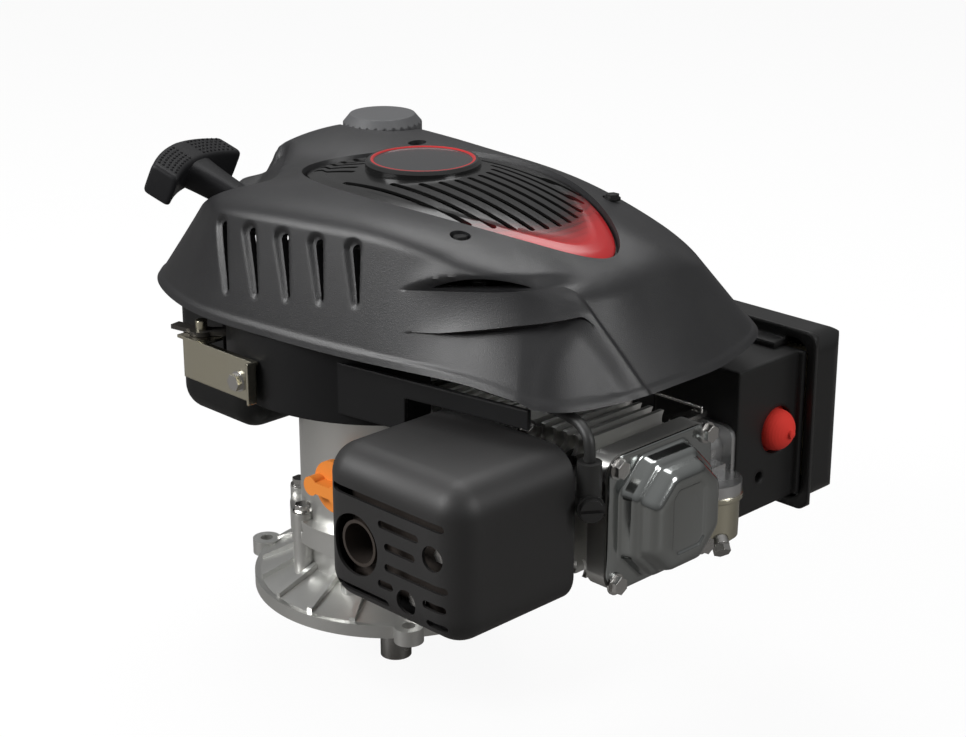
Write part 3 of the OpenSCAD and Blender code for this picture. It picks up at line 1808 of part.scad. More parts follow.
module badge() {
    z0 = dome_z(badge_at[0], badge_at[1]) - recess - 5;
    color([0.25, 0.25, 0.26])
        translate([badge_at[0], badge_at[1], z0])
            rotate_extrude()
                polygon([
                    [0, 0], [badge_d / 2, 0], [badge_d / 2, 9], [badge_d / 2 - 2, 11],
                    [badge_d / 2 - 5, 11], [badge_d / 2 - 6, 10], [0, 10]
                ]);
}

module shroud_screws() {
    color([0.05, 0.05, 0.05])
        for (p = screw_at)
            translate([p[0], p[1], dome_z(p[0], p[1]) + screw_rise + 0.05])
                hex_bolt(2, 20, 8);
}

sump();
sump_bolts();
lower_bush();
oil_seals();
crankcase();
upper_bearing();
cylinder_head();
head_gasket();
head_bolts();
valve_cover();
valve_cover_gasket();
valve_cover_bolts();
valves();
valve_springs();
rocker_arms();
push_rods();
piston();
piston_rings();
spark_plug();
plug_boot();
ignition_lead();
ignition_coil();
muffler();
muffler_guard();
guard_screws();
intake_spacer();
carburettor();
float_bowl();
bowl_bolts();
air_box();
filter_element();
fuel_tank();
fuel_hose();
blower_base();
top_shroud();
grille_panel();
badge();
shroud_screws();
starter_frame();
rope_guide();
starter_rope();
brake_bracket();
bracket_bolts();
crankshaft();
flywheel();
cooling_fan();
starter_cup();
flywheel_nut();
connecting_rod();
camshaft();
starter_pulley();
starter_handle();
fuel_cap();
oil_cap();
primer_bulb();
air_cover();
governor_arm();
throttle_shaft();
governor_link();
brake_lever();
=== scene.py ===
"""Looks of a small vertical-shaft gasoline engine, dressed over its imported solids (metres, +Z up)."""

import logging
import math
from collections.abc import Callable
from dataclasses import dataclass, field
from functools import cache
from itertools import product

import bmesh
import bpy
from mathutils import Matrix, Vector


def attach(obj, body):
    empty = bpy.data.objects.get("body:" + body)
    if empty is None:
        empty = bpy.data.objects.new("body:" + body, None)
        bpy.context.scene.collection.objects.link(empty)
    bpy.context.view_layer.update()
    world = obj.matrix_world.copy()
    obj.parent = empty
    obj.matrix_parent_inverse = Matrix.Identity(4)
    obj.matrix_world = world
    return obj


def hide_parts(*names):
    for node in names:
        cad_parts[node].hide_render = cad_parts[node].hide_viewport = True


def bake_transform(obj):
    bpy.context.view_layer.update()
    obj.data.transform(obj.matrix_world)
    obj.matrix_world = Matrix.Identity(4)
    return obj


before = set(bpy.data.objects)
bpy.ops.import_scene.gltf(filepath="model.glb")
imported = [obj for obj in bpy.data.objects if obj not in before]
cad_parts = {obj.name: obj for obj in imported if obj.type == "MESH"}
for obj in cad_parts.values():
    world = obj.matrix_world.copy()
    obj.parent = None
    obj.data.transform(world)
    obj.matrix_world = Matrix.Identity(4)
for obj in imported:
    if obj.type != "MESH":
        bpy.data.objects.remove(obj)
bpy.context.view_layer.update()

LOG = logging.getLogger("engine")
MM = 0.001
RGB = tuple[float, float, float]
Pair = tuple[float, float]
Point = tuple[float, float, float]
Span = tuple[float, float, float, float]
Line = tuple[Pair, ...]
Row = tuple[Point, ...]
Mesh, Vert = bmesh.types.BMesh, bmesh.types.BMVert
Socket, Tree = bpy.types.NodeSocket, bpy.types.NodeTree
Material, Piece = bpy.types.Material, bpy.types.Object


# Shader nodes


class Wiring:
    """Adds shader nodes to a tree and joins them."""

    def __init__(self, tree: Tree) -> None:
        """Take up a tree.

        Args:
            tree: the node tree to work on.
        """
        self.nodes, self.links = tree.nodes, tree.links

    def feed(self, node: bpy.types.Node, key: str | int, value: object) -> None:
        """Set one input of a node, or link it where the value is a socket."""
        if isinstance(value, Socket):
            self.links.new(value, node.inputs[key])
        else:
            node.inputs[key].default_value = value

    def add(self, kind: str, inputs: dict[str | int, object] | None = None,
            **settings: object) -> bpy.types.Node:
        """Add a node.

        Args:
            kind: its type, without the prefix.
            inputs: a value or a feeding socket for each input.
            settings: its own settings.

        Returns:
            The node.
        """
        node = self.nodes.new("ShaderNode" + kind)
        for key, value in settings.items():
            setattr(node, key, value)
        for key, value in (inputs or {}).items():
            self.feed(node, key, value)
        return node

    def math(self, operation: str, a: object, b: object) -> Socket:
        """Join two numbers by an operation."""
        return self.add("Math", {0: a, 1: b}, operation=operation).outputs["Value"]

    def span(self, value: object, low: float, high: float, to_low: float = 0.0,
             to_high: float = 1.0) -> Socket:
        """Spread a value from one range over another."""
        ends = {"From Min": low, "From Max": high, "To Min": to_low, "To Max": to_high}
        return self.add("MapRange", {"Value": value, **ends}).outputs["Result"]

    def mix(self, name: str, share: object, first: object, second: object) -> Socket:
        """Mix two colours: the first at share 0, the second at share 1."""
        first, second = ((*c, 1.0) if isinstance(c, tuple) else c for c in (first, second))
        return self.add("Mix", {0: share, 6: first, 7: second}, data_type="RGBA", name=name).outputs[2]

    def place(self) -> Socket:
        """The object's own coordinates."""
        return self.add("TexCoord").outputs["Object"]

    def spot(self, centre: Point, reach: Point) -> Socket:
        """The object's coordinates counted from a centre, in units of a reach."""
        inputs = {"Vector": self.place(), "Location": centre, "Scale": reach}
        return self.add("Mapping", inputs, vector_type="TEXTURE").outputs["Vector"]

    def far(self, spot: Socket) -> Socket:
        """Length of a vector."""
        return self.add("VectorMath", {0: spot}, operation="LENGTH").outputs["Value"]


class Groups:
    """Shader node groups that the finishes share, each built once."""

    @staticmethod
    def _start(name: str, inputs: dict[str, float], outputs: list[str]) -> Tree:
        """Make an empty group.

        Args:
            name: the group's name.
            inputs: float inputs with their default values.
            outputs: float outputs.

        Returns:
            The new group, with its input and output nodes.
        """
        tree = bpy.data.node_groups.new(name, "ShaderNodeTree")
        for side, keys in (("INPUT", inputs), ("OUTPUT", outputs)):
            for key in keys:
                tree.interface.new_socket(key, in_out=side, socket_type="NodeSocketFloat")
            tree.nodes.new(f"NodeGroup{side.capitalize()}").name = side
        for key, value in inputs.items():
            tree.interface.items_tree[key].default_value = value
        return tree

    @classmethod
    def _skin(cls, name: str, stretch: Point, fine: float, slow: float) -> Tree:
        """Fine relief over slow mottling.

        Args:
            name: the group's name.
            stretch: how the fine relief is drawn out.
            fine: detail of the relief.
            slow: detail of the mottling.

        Returns:
            The group, with outputs Height and Mottle.
        """
        tree = cls._start(name, {"Scale": 900.0, "Slow": 18.0}, ["Height", "Mottle"])
        wires, given = Wiring(tree), tree.nodes["INPUT"].outputs
        place = wires.place()
        drawn = wires.add("Mapping", {"Vector": place, "Scale": stretch}).outputs["Vector"]
        for key, size, where, detail in (("Height", "Scale", drawn, fine), ("Mottle", "Slow", place, slow)):
            noise = wires.add("TexNoise", {"Vector": where, "Scale": given[size], "Detail": detail})
            wires.feed(tree.nodes["OUTPUT"], key, noise.outputs["Fac"])
        return tree

    @classmethod
    @cache
    def grain(cls) -> Tree:
        """Fine pits with slow mottling."""
        return cls._skin("skin_grain", (1.0, 1.0, 1.0), 3.0, 4.0)

    @classmethod
    @cache
    def brushing(cls) -> Tree:
        """Long faint scratches of rolled or turned metal."""
        return cls._skin("rolled_lines", (1.0, 1.0, 0.06), 2.0, 5.0)

    @classmethod
    @cache
    def edge_wear_and_highlight(cls) -> Tree:
        """Rubbed corners, and on the satin black box a painted edge highlight: output Mask is near 1 on sharp
        outer edges.
        """
        tree = cls._start("edge_wear_and_highlight", {"Radius": 0.0008, "Amount": 0.6}, ["Mask"])
        wires, given = Wiring(tree), tree.nodes["INPUT"].outputs
        soft = wires.add("Bevel", {"Radius": given["Radius"]}, samples=3).outputs["Normal"]
        hard = wires.add("NewGeometry").outputs["Normal"]
        dot = wires.add("VectorMath", {0: soft, 1: hard}, operation="DOT_PRODUCT").outputs["Value"]
        rub_and_highlight = wires.add("TexNoise", {"Vector": wires.place(), "Scale": 160.0, "Detail": 4.0}).outputs["Fac"]
        mask = wires.math("MULTIPLY", wires.span(dot, 0.98, 0.80), rub_and_highlight)
        wires.feed(tree.nodes["OUTPUT"], "Mask", wires.math("MULTIPLY", mask, given["Amount"]))
        return tree


# Finishes


@dataclass(frozen=True)
class Finish:
    """One finish: its colour, gloss, grain (pits, or lines if rolled) and how much its edges are lightened:
    rubbed wear on most finishes, a painted highlight on the satin black box.
    """

    name: str
    colour: RGB
    second: RGB
    roughness: float
    metallic: float = 0.0
    rolled: bool = False
    grain_scale: float = 900.0
    grain_depth: float = 0.00005
    mottle_scale: float = 18.0
    rough_swing: float = 0.12
    coat: float = 0.0
    specular: float = 0.5
    wear_and_highlight: float = 0.0
    wear_and_highlight_colour: RGB = (0.5, 0.5, 0.5)
    wear_and_highlight_radius: float = 0.0008
    edge: float = 0.0

    def build(self) -> Material:
        """Make the Blender material.

        Returns:
            The material, made once for each finish.
        """
        if self.name in bpy.data.materials:
            return bpy.data.materials[self.name]
        material = bpy.data.materials.new(self.name)
        material.use_nodes = True
        wires = Wiring(material.node_tree)
        tree = Groups.brushing() if self.rolled else Groups.grain()
        skin = wires.add("Group", {"Scale": self.grain_scale, "Slow": self.mottle_scale}, node_tree=tree)
        mottle = skin.outputs["Mottle"]
        colour = wires.mix("tone", mottle, self.colour, self.second)
        # Lighter edges: rubbed wear on most finishes, a painted edge highlight on the satin black box.
        if self.wear_and_highlight > 0:
            rub_and_highlight = {"Radius": self.wear_and_highlight_radius, "Amount": self.wear_and_highlight}
            mask = wires.add("Group", rub_and_highlight, node_tree=Groups.edge_wear_and_highlight()).outputs["Mask"]
            colour = wires.mix("rubbed", mask, colour, self.wear_and_highlight_colour)
        swing = self.rough_swing / 2
        ends = max(0.02, self.roughness - swing), min(1.0, self.roughness + swing)
        gloss = wires.span(mottle, 0.25, 0.75, *ends)
        bump = wires.add("Bump", {"Distance": self.grain_depth, "Strength": 1.0})
        wires.feed(bump, "Height", skin.outputs["Height"])
        if self.edge > 0:
            soft = wires.add("Bevel", {"Radius": self.edge}, samples=4)
            wires.feed(bump, "Normal", soft.outputs["Normal"])
        for key, value in {
                "Base Color": colour, "Roughness": gloss, "Metallic": self.metallic, "Coat Weight": self.coat,
                "Coat Roughness": 0.08, "Specular IOR Level": self.specular,
                "Normal": bump.outputs["Normal"]}.items():
            wires.feed(wires.nodes["Principled BSDF"], key, value)
        return material


class Finishes:
    """The engine's finishes."""

    shroud = Finish("shroud_grain_black", (0.011, 0.011, 0.012), (0.016, 0.016, 0.017), 0.40,
                    grain_scale=1900.0, grain_depth=0.00014, rough_swing=0.08)
    grip = Finish("grip_black", (0.009, 0.009, 0.010), (0.013, 0.013, 0.014), 0.48,
                  grain_scale=1100.0, grain_depth=0.00004, specular=0.16)
    # The tank's black is partly painted shade: it is set a touch darker than the shroud's because the tank sits
    # in shade under the brake bracket.
    tank = Finish("tank_black", (0.006, 0.006, 0.006), (0.010, 0.010, 0.010), 0.5, specular=0.2, edge=0.004)
    # The cap's dark grey is partly painted reflection: a black cap lightened to stand in for the light its top
    # reflects.
    cap = Finish("cap_black", (0.068, 0.069, 0.072), (0.084, 0.085, 0.088), 0.46,
                 grain_scale=1000.0, grain_depth=0.00006, edge=0.0015)
    housing = Finish("housing_satin_black", (0.006, 0.006, 0.007), (0.010, 0.010, 0.010), 0.44,
                     grain_depth=0.00004, specular=0.22, edge=0.0015)
    # The box's paler edges are a painted highlight: thin light lines that stand in for light catching its
    # edges.
    box = Finish("box_satin_black", (0.009, 0.009, 0.009), (0.013, 0.013, 0.013), 0.40,
                 grain_scale=1200.0, grain_depth=0.00004, specular=0.35, wear_and_highlight=0.35,
                 wear_and_highlight_colour=(0.05, 0.05, 0.052), wear_and_highlight_radius=0.0012, edge=0.004)
    guard = Finish("guard_baked_black", (0.012, 0.012, 0.012), (0.019, 0.018, 0.018), 0.52,
                   grain_scale=700.0, wear_and_highlight=0.25, wear_and_highlight_colour=(0.07, 0.07, 0.07))
    cast = Finish("cast_aluminium", (0.56, 0.56, 0.55), (0.40, 0.40, 0.39), 0.42, metallic=0.9,
                  grain_scale=420.0, grain_depth=0.00022, mottle_scale=30.0, rough_swing=0.2, wear_and_highlight=0.6,
                  wear_and_highlight_colour=(0.75, 0.75, 0.74), edge=0.001)
    turned = Finish("turned_aluminium", (0.62, 0.62, 0.62), (0.52, 0.52, 0.52), 0.3, metallic=0.95,
                    rolled=True, grain_scale=700.0, grain_depth=0.00004)
    steel = Finish("bright_steel", (0.62, 0.61, 0.59), (0.46, 0.45, 0.44), 0.24, metallic=1.0,
                   rolled=True, grain_scale=800.0, grain_depth=0.00003, wear_and_highlight=0.3,
                   wear_and_highlight_colour=(0.8, 0.8, 0.78), edge=0.0004)
    zinc = Finish("bright_zinc", (0.40, 0.42, 0.43), (0.31, 0.32, 0.30), 0.15, metallic=1.0,
                  grain_scale=260.0, grain_depth=0.00003, mottle_scale=24.0, rough_swing=0.1, wear_and_highlight=0.25,
                  wear_and_highlight_colour=(0.85, 0.85, 0.82))
    zinc_yellow = Finish("yellow_zinc", (0.62, 0.58, 0.44), (0.55, 0.53, 0.45), 0.22, metallic=1.0,
                         rolled=True, grain_scale=500.0, grain_depth=0.00003, mottle_scale=26.0, wear_and_highlight=0.25,
                         wear_and_highlight_colour=(0.8, 0.8, 0.76), edge=0.0012)
    dark_steel = Finish("dark_steel", (0.035, 0.034, 0.033), (0.06, 0.055, 0.05), 0.45, metallic=0.6,
                        grain_scale=600.0, grain_depth=0.00006)
    heat_steel = Finish("heat_tinted_steel", (0.10, 0.08, 0.065), (0.05, 0.045, 0.045), 0.5, metallic=0.7,
                        grain_scale=500.0, grain_depth=0.00006, mottle_scale=14.0)
    bronze = Finish("bush_bronze", (0.45, 0.27, 0.11), (0.36, 0.21, 0.09), 0.35, metallic=1.0)
    iron = Finish("ground_iron", (0.20, 0.20, 0.20), (0.14, 0.14, 0.14), 0.36, metallic=0.9,
                  rolled=True, grain_scale=700.0)
    resin = Finish("coil_resin", (0.02, 0.02, 0.022), (0.03, 0.03, 0.03), 0.3, grain_depth=0.00002)
    rubber = Finish("soft_black_rubber", (0.012, 0.012, 0.012), (0.020, 0.020, 0.019), 0.5,
                    grain_scale=800.0, grain_depth=0.00004)
    fibre = Finish("pressed_fibre", (0.09, 0.09, 0.085), (0.14, 0.135, 0.125), 0.8,
                   grain_scale=1400.0, grain_depth=0.00008)
    orange = Finish("orange_cap", (0.72, 0.17, 0.015), (0.62, 0.13, 0.012), 0.4, grain_depth=0.00004)
    red = Finish("red_bulb", (0.78, 0.026, 0.022), (0.70, 0.020, 0.018), 0.3,
                 grain_scale=700.0, grain_depth=0.00002, coat=0.15)
    paper = Finish("pleated_paper", (0.62, 0.55, 0.38), (0.52, 0.45, 0.30), 0.85,
                   grain_scale=1600.0, grain_depth=0.00008)
    rope = Finish("braided_rope", (0.060, 0.058, 0.055), (0.10, 0.098, 0.092), 0.8,
                  grain_scale=1500.0, grain_depth=0.0002)


@dataclass(frozen=True)
class PanelFinish:
    """Gloss black with a red crescent that fades in fine dots towards the middle of the panel."""

    name: str = "panel_gloss_crescent"
    red: RGB = (0.36, 0.010, 0.012)
    centre: Point = (0.030, 0.019, 0.0)
    reach: Point = (0.150, 0.066, 1000.0)
    edge: Pair = (0.64, 0.86)
    nose: Pair = (0.44, 0.76)
    dots: float = 620.0
    fade: Pair = (-0.45, 0.25)

    def build(self) -> Material:
        """Make the Blender material.

        Returns:
            The material.
        """
        material = Finish(self.name, (0.006, 0.006, 0.006), (0.009, 0.009, 0.009), 0.2, grain_depth=0.0,
                          rough_swing=0.03, coat=0.06).build()
        wires = Wiring(material.node_tree)
        spot = wires.spot(self.centre, self.reach)
        edge = wires.span(wires.far(spot), *self.edge)
        nose = wires.span(wires.add("SeparateXYZ", {"Vector": spot}).outputs["X"], *self.nose)
        both = wires.math("MULTIPLY", edge, nose)
        screen = {"Vector": wires.place(), "Scale": self.dots, "Randomness": 0.0}
        dots = wires.add("TexVoronoi", screen).outputs["Distance"]
        fade = wires.span(wires.math("SUBTRACT", both, dots), *self.fade)
        share = wires.math("MULTIPLY", fade, both)
        tint = wires.mix("tint", share, wires.nodes["tone"].outputs[2], self.red)
        wires.feed(wires.nodes["Principled BSDF"], "Base Color", tint)
        return material


@dataclass(frozen=True)
class BadgeFinish:
    """Dark grey face inside a red ring and a black collar, by distance from the badge's middle."""

    name: str = "badge_ringed"
    centre: Point = (0.010, 0.022, 0.0)
    reach: Point = (1.0, 1.0, 1.0e6)
    radius: float = 0.0385
    bands: tuple[tuple[float, RGB], ...] = (
        (0.0, (0.032, 0.032, 0.034)), (0.85, (0.42, 0.012, 0.014)), (0.905, (0.008, 0.008, 0.008)))

    def build(self) -> Material:
        """Make the Blender material.

        Returns:
            The material.
        """
        material = Finish(self.name, (0.030, 0.030, 0.032), (0.040, 0.040, 0.042), 0.24, grain_depth=0.00001,
                          rough_swing=0.06, coat=0.3).build()
        wires = Wiring(material.node_tree)
        far = wires.far(wires.spot(self.centre, self.reach))
        ramp = wires.add("ValToRGB", {"Fac": wires.span(far, 0.0, self.radius)})
        ramp.color_ramp.interpolation = "CONSTANT"
        stops = ramp.color_ramp.elements
        stops.new(0.5)
        for stop, (place, colour) in zip(stops, self.bands):
            stop.position, stop.color = place, (*colour, 1.0)
        wires.feed(wires.nodes["Principled BSDF"], "Base Color", ramp.outputs["Color"])
        return material


def dress(finish: Finish | BadgeFinish, *names: str) -> None:
    """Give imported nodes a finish.

    Args:
        finish: the finish they share.
        names: node names.
    """
    material = finish.build()
    for name in names:
        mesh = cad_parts[name].data
        mesh.materials.clear()
        mesh.materials.append(material)
        LOG.info("%s dressed in %s", name, finish.name)


# Mesh helpers


def spline(a: Vector, b: Vector, c: Vector, d: Vector, t: float) -> Vector:
    """Point of a Catmull-Rom curve at share t of the way from b to c."""
    return 0.5 * (2 * b + (c - a) * t + (2 * a - 5 * b + 4 * c - d) * t * t + (3 * b - a - 3 * c + d) * t ** 3)


def smooth_row(points: Row, steps: int) -> list[Vector]:
    """Smooth curve through a row of points.

    Args:
        points: the row, in millimetres.
        steps: pieces for each gap in the row.

    Returns:
        The curve's points, in metres.
    """
    row = [Vector(p) * MM for p in points]
    last = len(row) - 1
    curve = [spline(row[max(i - 1, 0)], row[i], row[i + 1], row[min(i + 2, last)], k / steps)
             for i in range(last) for k in range(steps)]
    return curve + [row[-1]]


def smooth_step(low: float, high: float, value: float) -> float:
    """Soft step from 0 at low to 1 at high."""
    t = min(1.0, max(0.0, (value - low) / (high - low)))
    return t * t * (3 - 2 * t)


def beside(p: Vector, a: Vector, b: Vector) -> Pair:
    """Share of the way from a to b that lies nearest to p, and p's distance from there."""
    way = b - a
    t = min(1.0, max(0.0, (p - a).dot(way) / way.length_squared))
    return t, (p - a - t * way).length


def arc(x: float, y: float, r: float, start: float, sweep: float, steps: int) -> list[Pair]:
    """Points of an arc round x and y, both ends included."""
    turns = (start + sweep * k / steps for k in range(steps + 1))
    return [(x + r * math.cos(a), y + r * math.sin(a)) for a in turns]


def slot_row(x0: float, x1: float, y: float, r: float) -> list[Pair]:
    """Round-ended outline from x0 to x1."""
    return arc(x1 - r, y, r, -math.pi / 2, math.pi, 8) + arc(x0 + r, y, r, math.pi / 2, math.pi, 8)


def place_piece(name: str, data: bpy.types.ID, finish: Finish) -> Piece:
    """Dress a mesh or curve and place it in the scene.

    Args:
        name: piece name.
        data: the mesh or curve.
        finish: its finish.

    Returns:
        The new object.
    """
    data.materials.clear()
    data.materials.append(finish.build())
    piece = bpy.data.objects.new(name, data)
    bpy.context.scene.collection.objects.link(piece)
    return piece


def cord_piece(name: str, curve: list[Vector], radius: float, finish: Finish) -> Piece:
    """Round cord along a row of points.

    Args:
        name: piece name.
        curve: centre line, in metres.
        radius: half its thickness.
        finish: its finish.

    Returns:
        The curve object.
    """
    data = bpy.data.curves.new(name, "CURVE")
    data.dimensions = "3D"
    data.bevel_depth = radius
    data.bevel_resolution = 6
    data.use_fill_caps = True
    track = data.splines.new("POLY")
    track.points.add(len(curve) - 1)
    for knot, place in zip(track.points, curve):
        knot.co = (*place, 1.0)
    return place_piece(name, data, finish)


def mesh_piece(name: str, build: Mesh, finish: Finish, smooth: bool = True) -> Piece:
    """Turn a built mesh into a piece.

    Args:
        name: piece name.
        build: the mesh, which is freed.
        finish: its finish.
        smooth: whether its faces are shaded smooth.

    Returns:
        The new object.
    """
    data = bpy.data.meshes.new(name)
    build.to_mesh(data)
    build.free()
    for face in data.polygons:
        face.use_smooth = smooth
    return place_piece(name, data, finish)


def join_rings(build: Mesh, rows: list[list[Vert]], caps: bool = True) -> None:
    """Skin a row of rings.

    Args:
        build: mesh to add to.
        rows: the rings, each with as many points.
        caps: whether the first and last ring are closed.
    """
    for one, two in zip(rows, rows[1:]):
        for k in range(len(one)):
            n = (k + 1) % len(one)
            build.faces.new((one[k], one[n], two[n], two[k]))
    if caps:
        build.faces.new(list(reversed(rows[0])))
        build.faces.new(rows[-1])


def tube_mesh(curve: list[Vector], radius: float, sides: int = 16) -> Mesh:
    """Closed tube along a row of points.

    Args:
        curve: centre line, in metres.
        radius: half its thickness.
        sides: points round the tube.

    Returns:
        The built mesh.
    """
    build = bmesh.new()
    last = len(curve) - 1
    side = (curve[1] - curve[0]).orthogonal().normalized()
    rings = []
    for i, place in enumerate(curve):
        along = (curve[min(i + 1, last)] - curve[max(i - 1, 0)]).normalized()
        side = (side - along * side.dot(along)).normalized()
        up = along.cross(side)
        rings.append([build.verts.new(place + radius * (math.cos(a) * side + math.sin(a) * up))
                      for a in (2 * math.pi * k / sides for k in range(sides))])
    join_rings(build, rings)
    return build


def prism_mesh(near: list[Vector], far: list[Vector]) -> Mesh:
    """Closed prism between two matching outlines.

    Args:
        near: one outline, in millimetres.
        far: the other.

    Returns:
        The built mesh, in metres.
    """
    build = bmesh.new()
    join_rings(build, [[build.verts.new(p * MM) for p in row] for row in (near, far)])
    bmesh.ops.recalc_face_normals(build, faces=build.faces)
    return build


def rod_mesh(a: Vector, b: Vector, r0: float, r1: float, sides: int) -> Mesh:
    """Round rod or cone between two points.

    Args:
        a: one end, in millimetres.
        b: the other end.
        r0: radius at a.
        r1: radius at b.
        sides: points round it.

    Returns:
        The built mesh, in metres.
    """
    along = (b - a).normalized()
    side = along.orthogonal().normalized()
    up = along.cross(side)
    ring = arc(0, 0, 1, 0, 2 * math.pi * (sides - 1) / sides, sides - 1)
    return prism_mesh(*([p + r * (c * side + s * up) for c, s in ring] for p, r in ((a, r0), (b, r1))))


def soft_box_mesh(low: Vector, high: Vector, r: float, steps: int = 10) -> Mesh:
    """Box with round edges and ball corners.

    Args:
        low: lowest corner, in millimetres.
        high: highest corner.
        r: radius of its edges.
        steps: faces in a quarter turn.

    Returns:
        The built mesh, in metres.
    """
    build = bmesh.new()
    mid, half = (low + high) / 2, (high - low) / 2 - Vector((r, r, r))
    rings = []
    for side in (-1, 1):
        for i in range(steps + 1):
            tilt = math.pi / 2 * (i / steps - (1 if side < 0 else 0))
            ring = []
            for turn, (sx, sy) in enumerate(((1, 1), (-1, 1), (-1, -1), (1, -1))):
                flat = arc(sx * half.x, sy * half.y, r * math.cos(tilt), math.pi / 2 * turn, math.pi / 2, steps)
                ring += [build.verts.new((mid + Vector((x, y, side * half.z + r * math.sin(tilt)))) * MM)
                         for x, y in flat]
            rings.append(ring)
    join_rings(build, rings)
    bmesh.ops.remove_doubles(build, verts=build.verts, dist=1e-7)
    bmesh.ops.recalc_face_normals(build, faces=build.faces)
    return build


def slot_mesh(x0: float, x1: float, y: float, width: float, z0: float, z1: float) -> Mesh:
    """Upright prism with a round-ended outline along X, in millimetres."""
    row = slot_row(x0, x1, y, width / 2)
    return prism_mesh(*([Vector((px, py, z)) for px, py in row] for z in (z0, z1)))


def cut_piece(name: str, build: Mesh, cuts: list[Mesh], finish: Finish) -> Piece:
    """Cut solids out of a mesh and make it a piece.

    Args:
        name: piece name.
        build: the closed mesh to cut, which is freed.
        cuts: closed meshes to take away, which are freed.
        finish: its finish.

    Returns:
        The cut piece, shaded smooth up to its sharp edges.
    """
    whole = mesh_piece(name + "_whole", build, finish)
    group = bpy.data.collections.new(name + "_cuts")
    bpy.context.scene.collection.children.link(group)
    tools = []
    for i, cut in enumerate(cuts):
        data = bpy.data.meshes.new(f"{name}_cut_{i}")
        cut.to_mesh(data)
        cut.free()
        tool = bpy.data.objects.new(data.name, data)
        group.objects.link(tool)
        tools.append(tool)
    step = whole.modifiers.new("cut", "BOOLEAN")
    step.operation = "DIFFERENCE"
    step.solver = "EXACT"
    step.operand_type = "COLLECTION"
    step.collection = group
    view = bpy.context.evaluated_depsgraph_get()
    data = bpy.data.meshes.new_from_object(whole.evaluated_get(view))
    data.name = name
    for tool in tools + [whole]:
        bpy.data.objects.remove(tool)
    bpy.data.collections.remove(group)
    for face in data.polygons:
        face.use_smooth = True
    data.set_sharp_from_angle(angle=math.radians(32))
    return place_piece(name, data, finish)


# Sub-assemblies


class SubAssembly:
    """Pieces that are shaped and dressed together."""

    def build(self) -> None:
        """Shape the pieces that the scene adds."""

    def dress(self) -> None:
        """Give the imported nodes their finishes."""


@dataclass
class Crankcase(SubAssembly):
    """Cast base, case and head with the train inside them."""

    def dress(self) -> None:
        """Give the castings and the crank train their finishes."""
        dress(Finishes.cast, "sump", "crankcase", "cylinder_head")
        dress(Finishes.turned, "piston", "connecting_rod", "flywheel")
        dress(Finishes.steel, "sump_bolts", "head_bolts", "upper_bearing", "crankshaft", "flywheel_nut",
              "valves", "valve_springs", "rocker_arms", "push_rods", "piston_rings", "valve_cover_bolts")
        dress(Finishes.bronze, "lower_bush")
        dress(Finishes.iron, "camshaft")
        dress(Finishes.rubber, "oil_seals")
        dress(Finishes.fibre, "head_gasket", "valve_cover_gasket")
        dress(Finishes.orange, "oil_cap")


@dataclass
class ValveCover(SubAssembly):
    """Deep-drawn valve cover: rolled flange, two stepped tiers and a sunk panel."""

    seat: float = 239.5
    axis_z: float = 127.0
    tiers: tuple[tuple[float, ...], ...] = (
        (0.0, 47, 44, 5, 8), (1.3, 47, 44, 5, 8), (1.8, 46.7, 43.7, 5, 8), (2.0, 46, 43, 5, 8),
        (2.0, 40.0, 41, 14, 8), (2.2, 38.9, 39.9, 14, 8), (2.8, 38.0, 39, 13.8, 8), (4.0, 37.4, 38.4, 13.6, 8),
        (9.4, 36.6, 37.6, 13.2, 8), (11.2, 36.1, 37.1, 13.0, 8), (12.6, 35.2, 36.2, 12.8, 8),
        (13.4, 34.2, 35.2, 12.5, 8), (13.8, 33.4, 34.4, 12.3, 8), (14.5, 32.6, 33.6, 12.1, 8),
        (16.0, 32.0, 33.0, 12.0, 8), (19.4, 31.2, 32.2, 11.8, 8), (21.6, 30.3, 31.3, 11.5, 8),
        (23.2, 29.0, 30.0, 11.2, 8), (24.3, 27.3, 28.3, 10.8, 8), (24.9, 25.2, 26.2, 10.2, 7),
        (25.0, 23.2, 24.2, 9.4, 7), (25.0, 15.6, 21.6, 3, 3), (24.8, 15.0, 21.0, 3, 3),
        (24.0, 14.2, 20.2, 3, 2.6), (23.8, 13.2, 19.2, 3, 2.6))

    @staticmethod
    def _outline(half_y: float, half_z: float, cut: float, r: float) -> list[Pair]:
        """Rectangle with cut corners and every angle rounded."""
        y, z = half_y - r, half_z - r
        row = []
        for sy, sz, first in ((1, 1, 0.0), (-1, 1, 90.0), (-1, -1, 180.0), (1, -1, 270.0)):
            ends = [(sy * y, sz * (z - cut)), (sy * (y - cut), sz * z)]
            if sy * sz < 0:
                ends.reverse()
            for k, (py, pz) in enumerate(ends):
                row += arc(py, pz, r, math.radians(first + 45 * k), math.radians(45), 5)
        return row

    def build(self) -> None:
        """Draw the cover from its tiers."""
        build = bmesh.new()
        rings = [[build.verts.new(Vector((self.seat + x, y, self.axis_z + z)) * MM)
                  for y, z in self._outline(*outline)] for x, *outline in self.tiers]
        join_rings(build, rings)
        bmesh.ops.recalc_face_normals(build, faces=build.faces)
        cover = mesh_piece("drawn_cover", build, Finishes.zinc)
        cover.data.set_sharp_from_angle(angle=math.radians(50))
        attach(cover, "engine")
        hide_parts("valve_cover")


